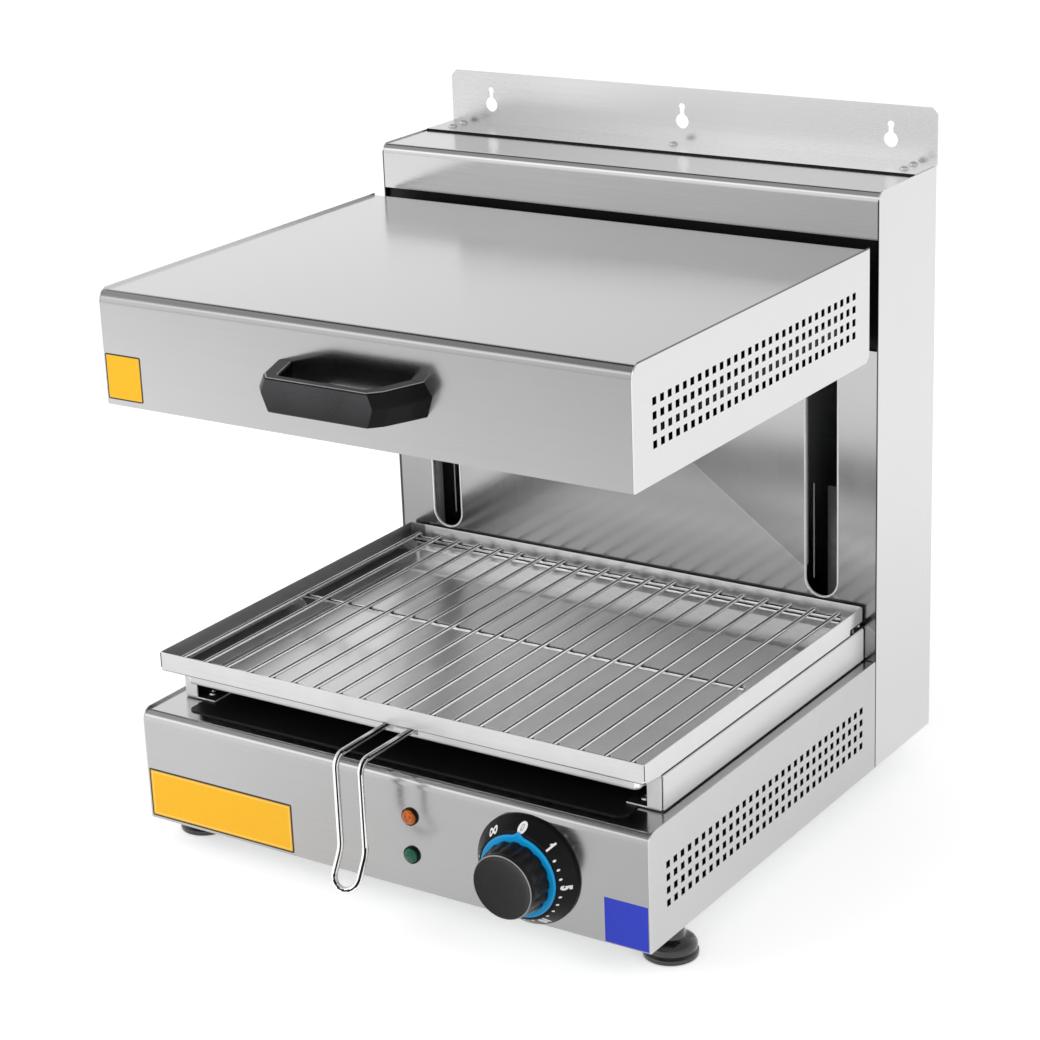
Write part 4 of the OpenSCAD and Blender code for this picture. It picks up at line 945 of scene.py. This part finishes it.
def sheet_box(shape, x0, x1, y0, y1, z0, z1, number=0):
    return shape.rings([[(x0, y0, z), (x1, y0, z), (x1, y1, z), (x0, y1, z)] for z in (z0, z1)],
                       number)


for side, name in ((1, "right"), (-1, "left")):
    rail = Shape()
    bend = fillet([(RUN_X - 13, RUN_TOP), (RUN_X, RUN_TOP), (RUN_X, 90.3)], [0, 1.8, 0], 5)
    loop = [tuple(p) for p in bend] + inset(bend, -SHEET, closed=False)[::-1]
    rail.rings([[(side * u, v, w) for u, w in loop] for v in (RUN_Y + 1.6, RUN_BACK)])
    for i, face in enumerate(rail.faces):
        middle = sum((Vector(rail.verts[j]) for j in face), Vector()) / len(face)
        # the runner's top, inner and lowest faces, its end flap's edges and its foot: painted
        # shadow under the tray rim and along the deck
        rail.numbers[i] = int(len(face) == 4 and (abs(middle.x) < RUN_X - 1 or middle.z < 91))
    flap = fillet([(RUN_X - 13, 90.3), (RUN_X - 1.5, 90.3), (RUN_X - 1.5, RUN_TOP - 0.6),
                   (RUN_X - 13, RUN_TOP - 0.6)], 1.0, 3, closed=True)
    rail.rings([[(side * u, v, w) for u, w in flap] for v in (RUN_Y, RUN_Y + SHEET)])
    xs = sorted((side * (RUN_X - 30), side * (RUN_X - 2)))
    sheet_box(rail, *xs, RUN_Y, RUN_BACK, DECK_Z, DECK_Z + SHEET)
    rail.numbers[-1] = 1
    build("rail_" + name, rail, [rail_look, seam_shadow_look], "chassis",
          ("runner_" + name,), sharp=30, bevel=0.25)

# strips inside the column, seen through the slots
strips, STRIP_Y = Shape(), 349.0
for x0, x1, z0, z1, number in ((181.8, 191.5, 137.5, 228, 0), (162.5, 164.6, 160, 325, 1),
                               (169.2, 170.3, 150, 228, 1)):
    sheet_box(strips, x0, x1, STRIP_Y, STRIP_Y + 0.5, z0, z1, number)
build("slot_strips", strips.mirrored(), [strip_look, slot_line_look], "chassis",
      sharp=30, bevel=0.2)

# turned edges of the lift slots, near white: painted highlight
SLOT_X, SLOT_R, SLOT_LOW, SLOT_TOP = 177.0, 14.0, 136.0, 340.0
rims = Shape()
rim_line = [(SLOT_X - SLOT_R, SLOT_TOP), (SLOT_X - SLOT_R, 240)]
rim_line += arc(SLOT_X, SLOT_LOW + SLOT_R, SLOT_R, 180, 360, 24)
rim_line += [(SLOT_X + SLOT_R, 240), (SLOT_X + SLOT_R, SLOT_TOP)]
rim_outer, rim_inner = inset(rim_line, -0.75, closed=False), inset(rim_line, 0.45, closed=False)
rims.rings([[(ou, 347.45, ow), (ou, 347.2, ow), (iu, 347.2, iw), (iu, 348.9, iw), (ou, 348.9, ow)]
            for (ou, ow), (iu, iw) in zip(rim_outer, rim_inner)])
build("slot_rims", rims.mirrored(), slot_rim_highlight_look, "chassis", sharp=40)

# ---- grate

BAR_R, CROSS_R, BAR_DROP = 1.6, 2.0, 9.0
CROSS_AT = TRAY_Z + 10
BAR_AT = CROSS_AT + CROSS_R + BAR_R - 0.3
BAR_X = HALF_OUT - 10.5 - 15.95
BAR_REAR = TRAY_Y + TRAY_D - 7 - BAR_R
CROSS_YS = (TRAY_Y + 12, TRAY_Y + 163, TRAY_Y + TRAY_D - 7 - 2 * BAR_R - CROSS_R)
WIRE_REFLECTION_BANDS = ((0.12, 0.62, 2), (-1, -0.9, 2))
wires = Shape()
bars = [-BAR_X + i * 2 * BAR_X / 19 for i in range(20)]
for x in bars:
    path = [(x, TRAY_Y + 3.4, BAR_AT), (x, BAR_REAR, BAR_AT), (x, BAR_REAR, BAR_AT - BAR_DROP)]
    tube(wires, fillet(path, 3.6, 7), BAR_R, 24, bands=WIRE_REFLECTION_BANDS)
for y, z in [(y, CROSS_AT) for y in CROSS_YS] + [(CROSS_YS[2] + 0.3, BAR_AT - BAR_DROP + CROSS_R)]:
    reach = BAR_X + 4
    tube(wires, [(-reach, y, z), (-reach / 2, y, z), (reach / 2, y, z), (reach, y, z)], CROSS_R, 24,
         bands=WIRE_REFLECTION_BANDS)
for x in bars:
    for y in CROSS_YS:
        for side in (-1, 1):
            loops = []
            for t, r in ((0, 0.25), (0.25, 0.8), (0.55, 0.75), (0.8, 0.5), (1, 0.1)):
                cx, cz = x + side * (0.7 + 1.5 * t), CROSS_AT + CROSS_R + 1.0 - 1.0 * t
                loops.append([(cx, y + 1.5 * r * math.cos(a), cz + r * math.sin(a))
                              for a in (2 * math.pi * k / 8 for k in range(8))])
            wires.rings(loops, 1)
build("grate_wires", wires, [looks["bright_wire"], weld_look, wire_dark_reflection_look], "grate",
      ("grate",), sharp=60)

# ---- floor, lights, camera

FLOOR_REACH, FLOOR_Z = 30.0, -0.0002
floor_mesh = bpy.data.meshes.new("floor")
floor_mesh.from_pydata([(x * FLOOR_REACH, y * FLOOR_REACH, FLOOR_Z)
                        for x, y in ((-1, -1), (1, -1), (1, 1), (-1, 1))], [], [(0, 1, 2, 3)])
floor = bpy.data.objects.new("floor", floor_mesh)
scene.collection.objects.link(floor)
pale = bpy.data.materials.new("floor_pale")
pale.use_nodes = True
tree = pale.node_tree
tree.nodes.remove(tree.nodes["Principled BSDF"])
white = put(tree, "BsdfDiffuse", {"Color": (0.93, 0.93, 0.93, 1)})
path_kind = put(tree, "LightPath")
seen = put(tree, "Math", {0: path_kind.outputs["Is Camera Ray"],
                          1: path_kind.outputs["Is Glossy Ray"]}, operation="MAXIMUM").outputs[0]
seen = put(tree, "Math", {0: seen, 1: path_kind.outputs["Is Transmission Ray"]},
           operation="MAXIMUM").outputs[0]
lift = put(tree, "Math", {0: seen, 1: 0.4}, operation="MULTIPLY").outputs[0]
glow = put(tree, "Emission", {"Color": (1, 1, 1, 1), "Strength": lift})
both = put(tree, "AddShader", {0: white.outputs[0], 1: glow.outputs[0]})
tree.links.new(both.outputs[0], tree.nodes["Material Output"].inputs["Surface"])
floor_mesh.materials.append(pale)

world = bpy.data.worlds.new("studio")
scene.world = world
world.use_nodes = True
tree = world.node_tree
where = put(tree, "TexCoord").outputs["Generated"]
up = put(tree, "SeparateXYZ", {0: where}).outputs["Z"]
sky = ramp(tree, up, [(0.0, (1.0,) * 3), (1.0, (0.5,) * 3), (0.34, (1.0,) * 3),
                      (0.6, (0.7,) * 3), (0.8, (0.5,) * 3)])
level = put(tree, "RGBToBW", {0: sky}).outputs[0]
# soft lights and one dark flag, each (direction, full angle, fading angle, strength)
for aim, full, fade, strength in (((-0.53, -0.78, 0.33), 10, 32, 0.3),
                                  ((-0.53, -0.62, 0.58), 4, 13, 1.0),
                                  ((-0.53, 0.78, 0.33), 10, 32, 0.12),
                                  ((-0.53, 0.48, 0.70), 6, 14, -0.62)):
    near = put(tree, "VectorMath", {0: where, 1: Vector(aim).normalized()},
               operation="DOT_PRODUCT").outputs["Value"]
    lobe = put(tree, "MapRange", {"Value": near, "From Min": math.cos(math.radians(fade)),
                                  "From Max": math.cos(math.radians(full)),
                                  "To Max": strength},
               interpolation_type="SMOOTHSTEP").outputs["Result"]
    level = put(tree, "Math", {0: level, 1: lobe}, operation="ADD").outputs[0]
level = put(tree, "Math", {0: level, 1: 0.02}, operation="MAXIMUM").outputs[0]
tree.links.new(level, tree.nodes["Background"].inputs["Strength"])
tree.nodes["Background"].inputs["Color"].default_value = (1, 1, 1, 1)


def softbox(name, place, target, width, height, power):
    lamp = bpy.data.lights.new(name, "AREA")
    lamp.shape = "RECTANGLE"
    lamp.size, lamp.size_y, lamp.energy = width, height, power
    holder = bpy.data.objects.new(name, lamp)
    aim = Vector(target) - Vector(place)
    turned = aim.to_track_quat("-Z", "Y").to_matrix().to_4x4()
    holder.matrix_world = Matrix.Translation(place) @ turned
    holder.visible_camera = False
    holder.visible_glossy = False
    scene.collection.objects.link(holder)


softbox("key_front_left", (-1.9, -2.0, 1.7), (0, 0, 0.2), 1.6, 1.4, 22)
softbox("fill_right", (2.2, -0.6, 1.6), (0, 0, 0.25), 1.2, 1.6, 10)

camera_data = bpy.data.cameras.new("view")
camera_data.lens = 93.19
camera_data.sensor_width = 36.0
camera = bpy.data.objects.new("view", camera_data)
camera.matrix_world = Matrix(((0.8357424, -0.1539368, 0.52710351, 1.07999),
                              (0.5478219, 0.29973836, -0.78105575, -1.60521),
                              (-0.03775992, 0.94152025, 0.33483401, 0.93052),
                              (0, 0, 0, 1)))
scene.collection.objects.link(camera)
scene.camera = camera
scene.view_settings.view_transform = "Standard"
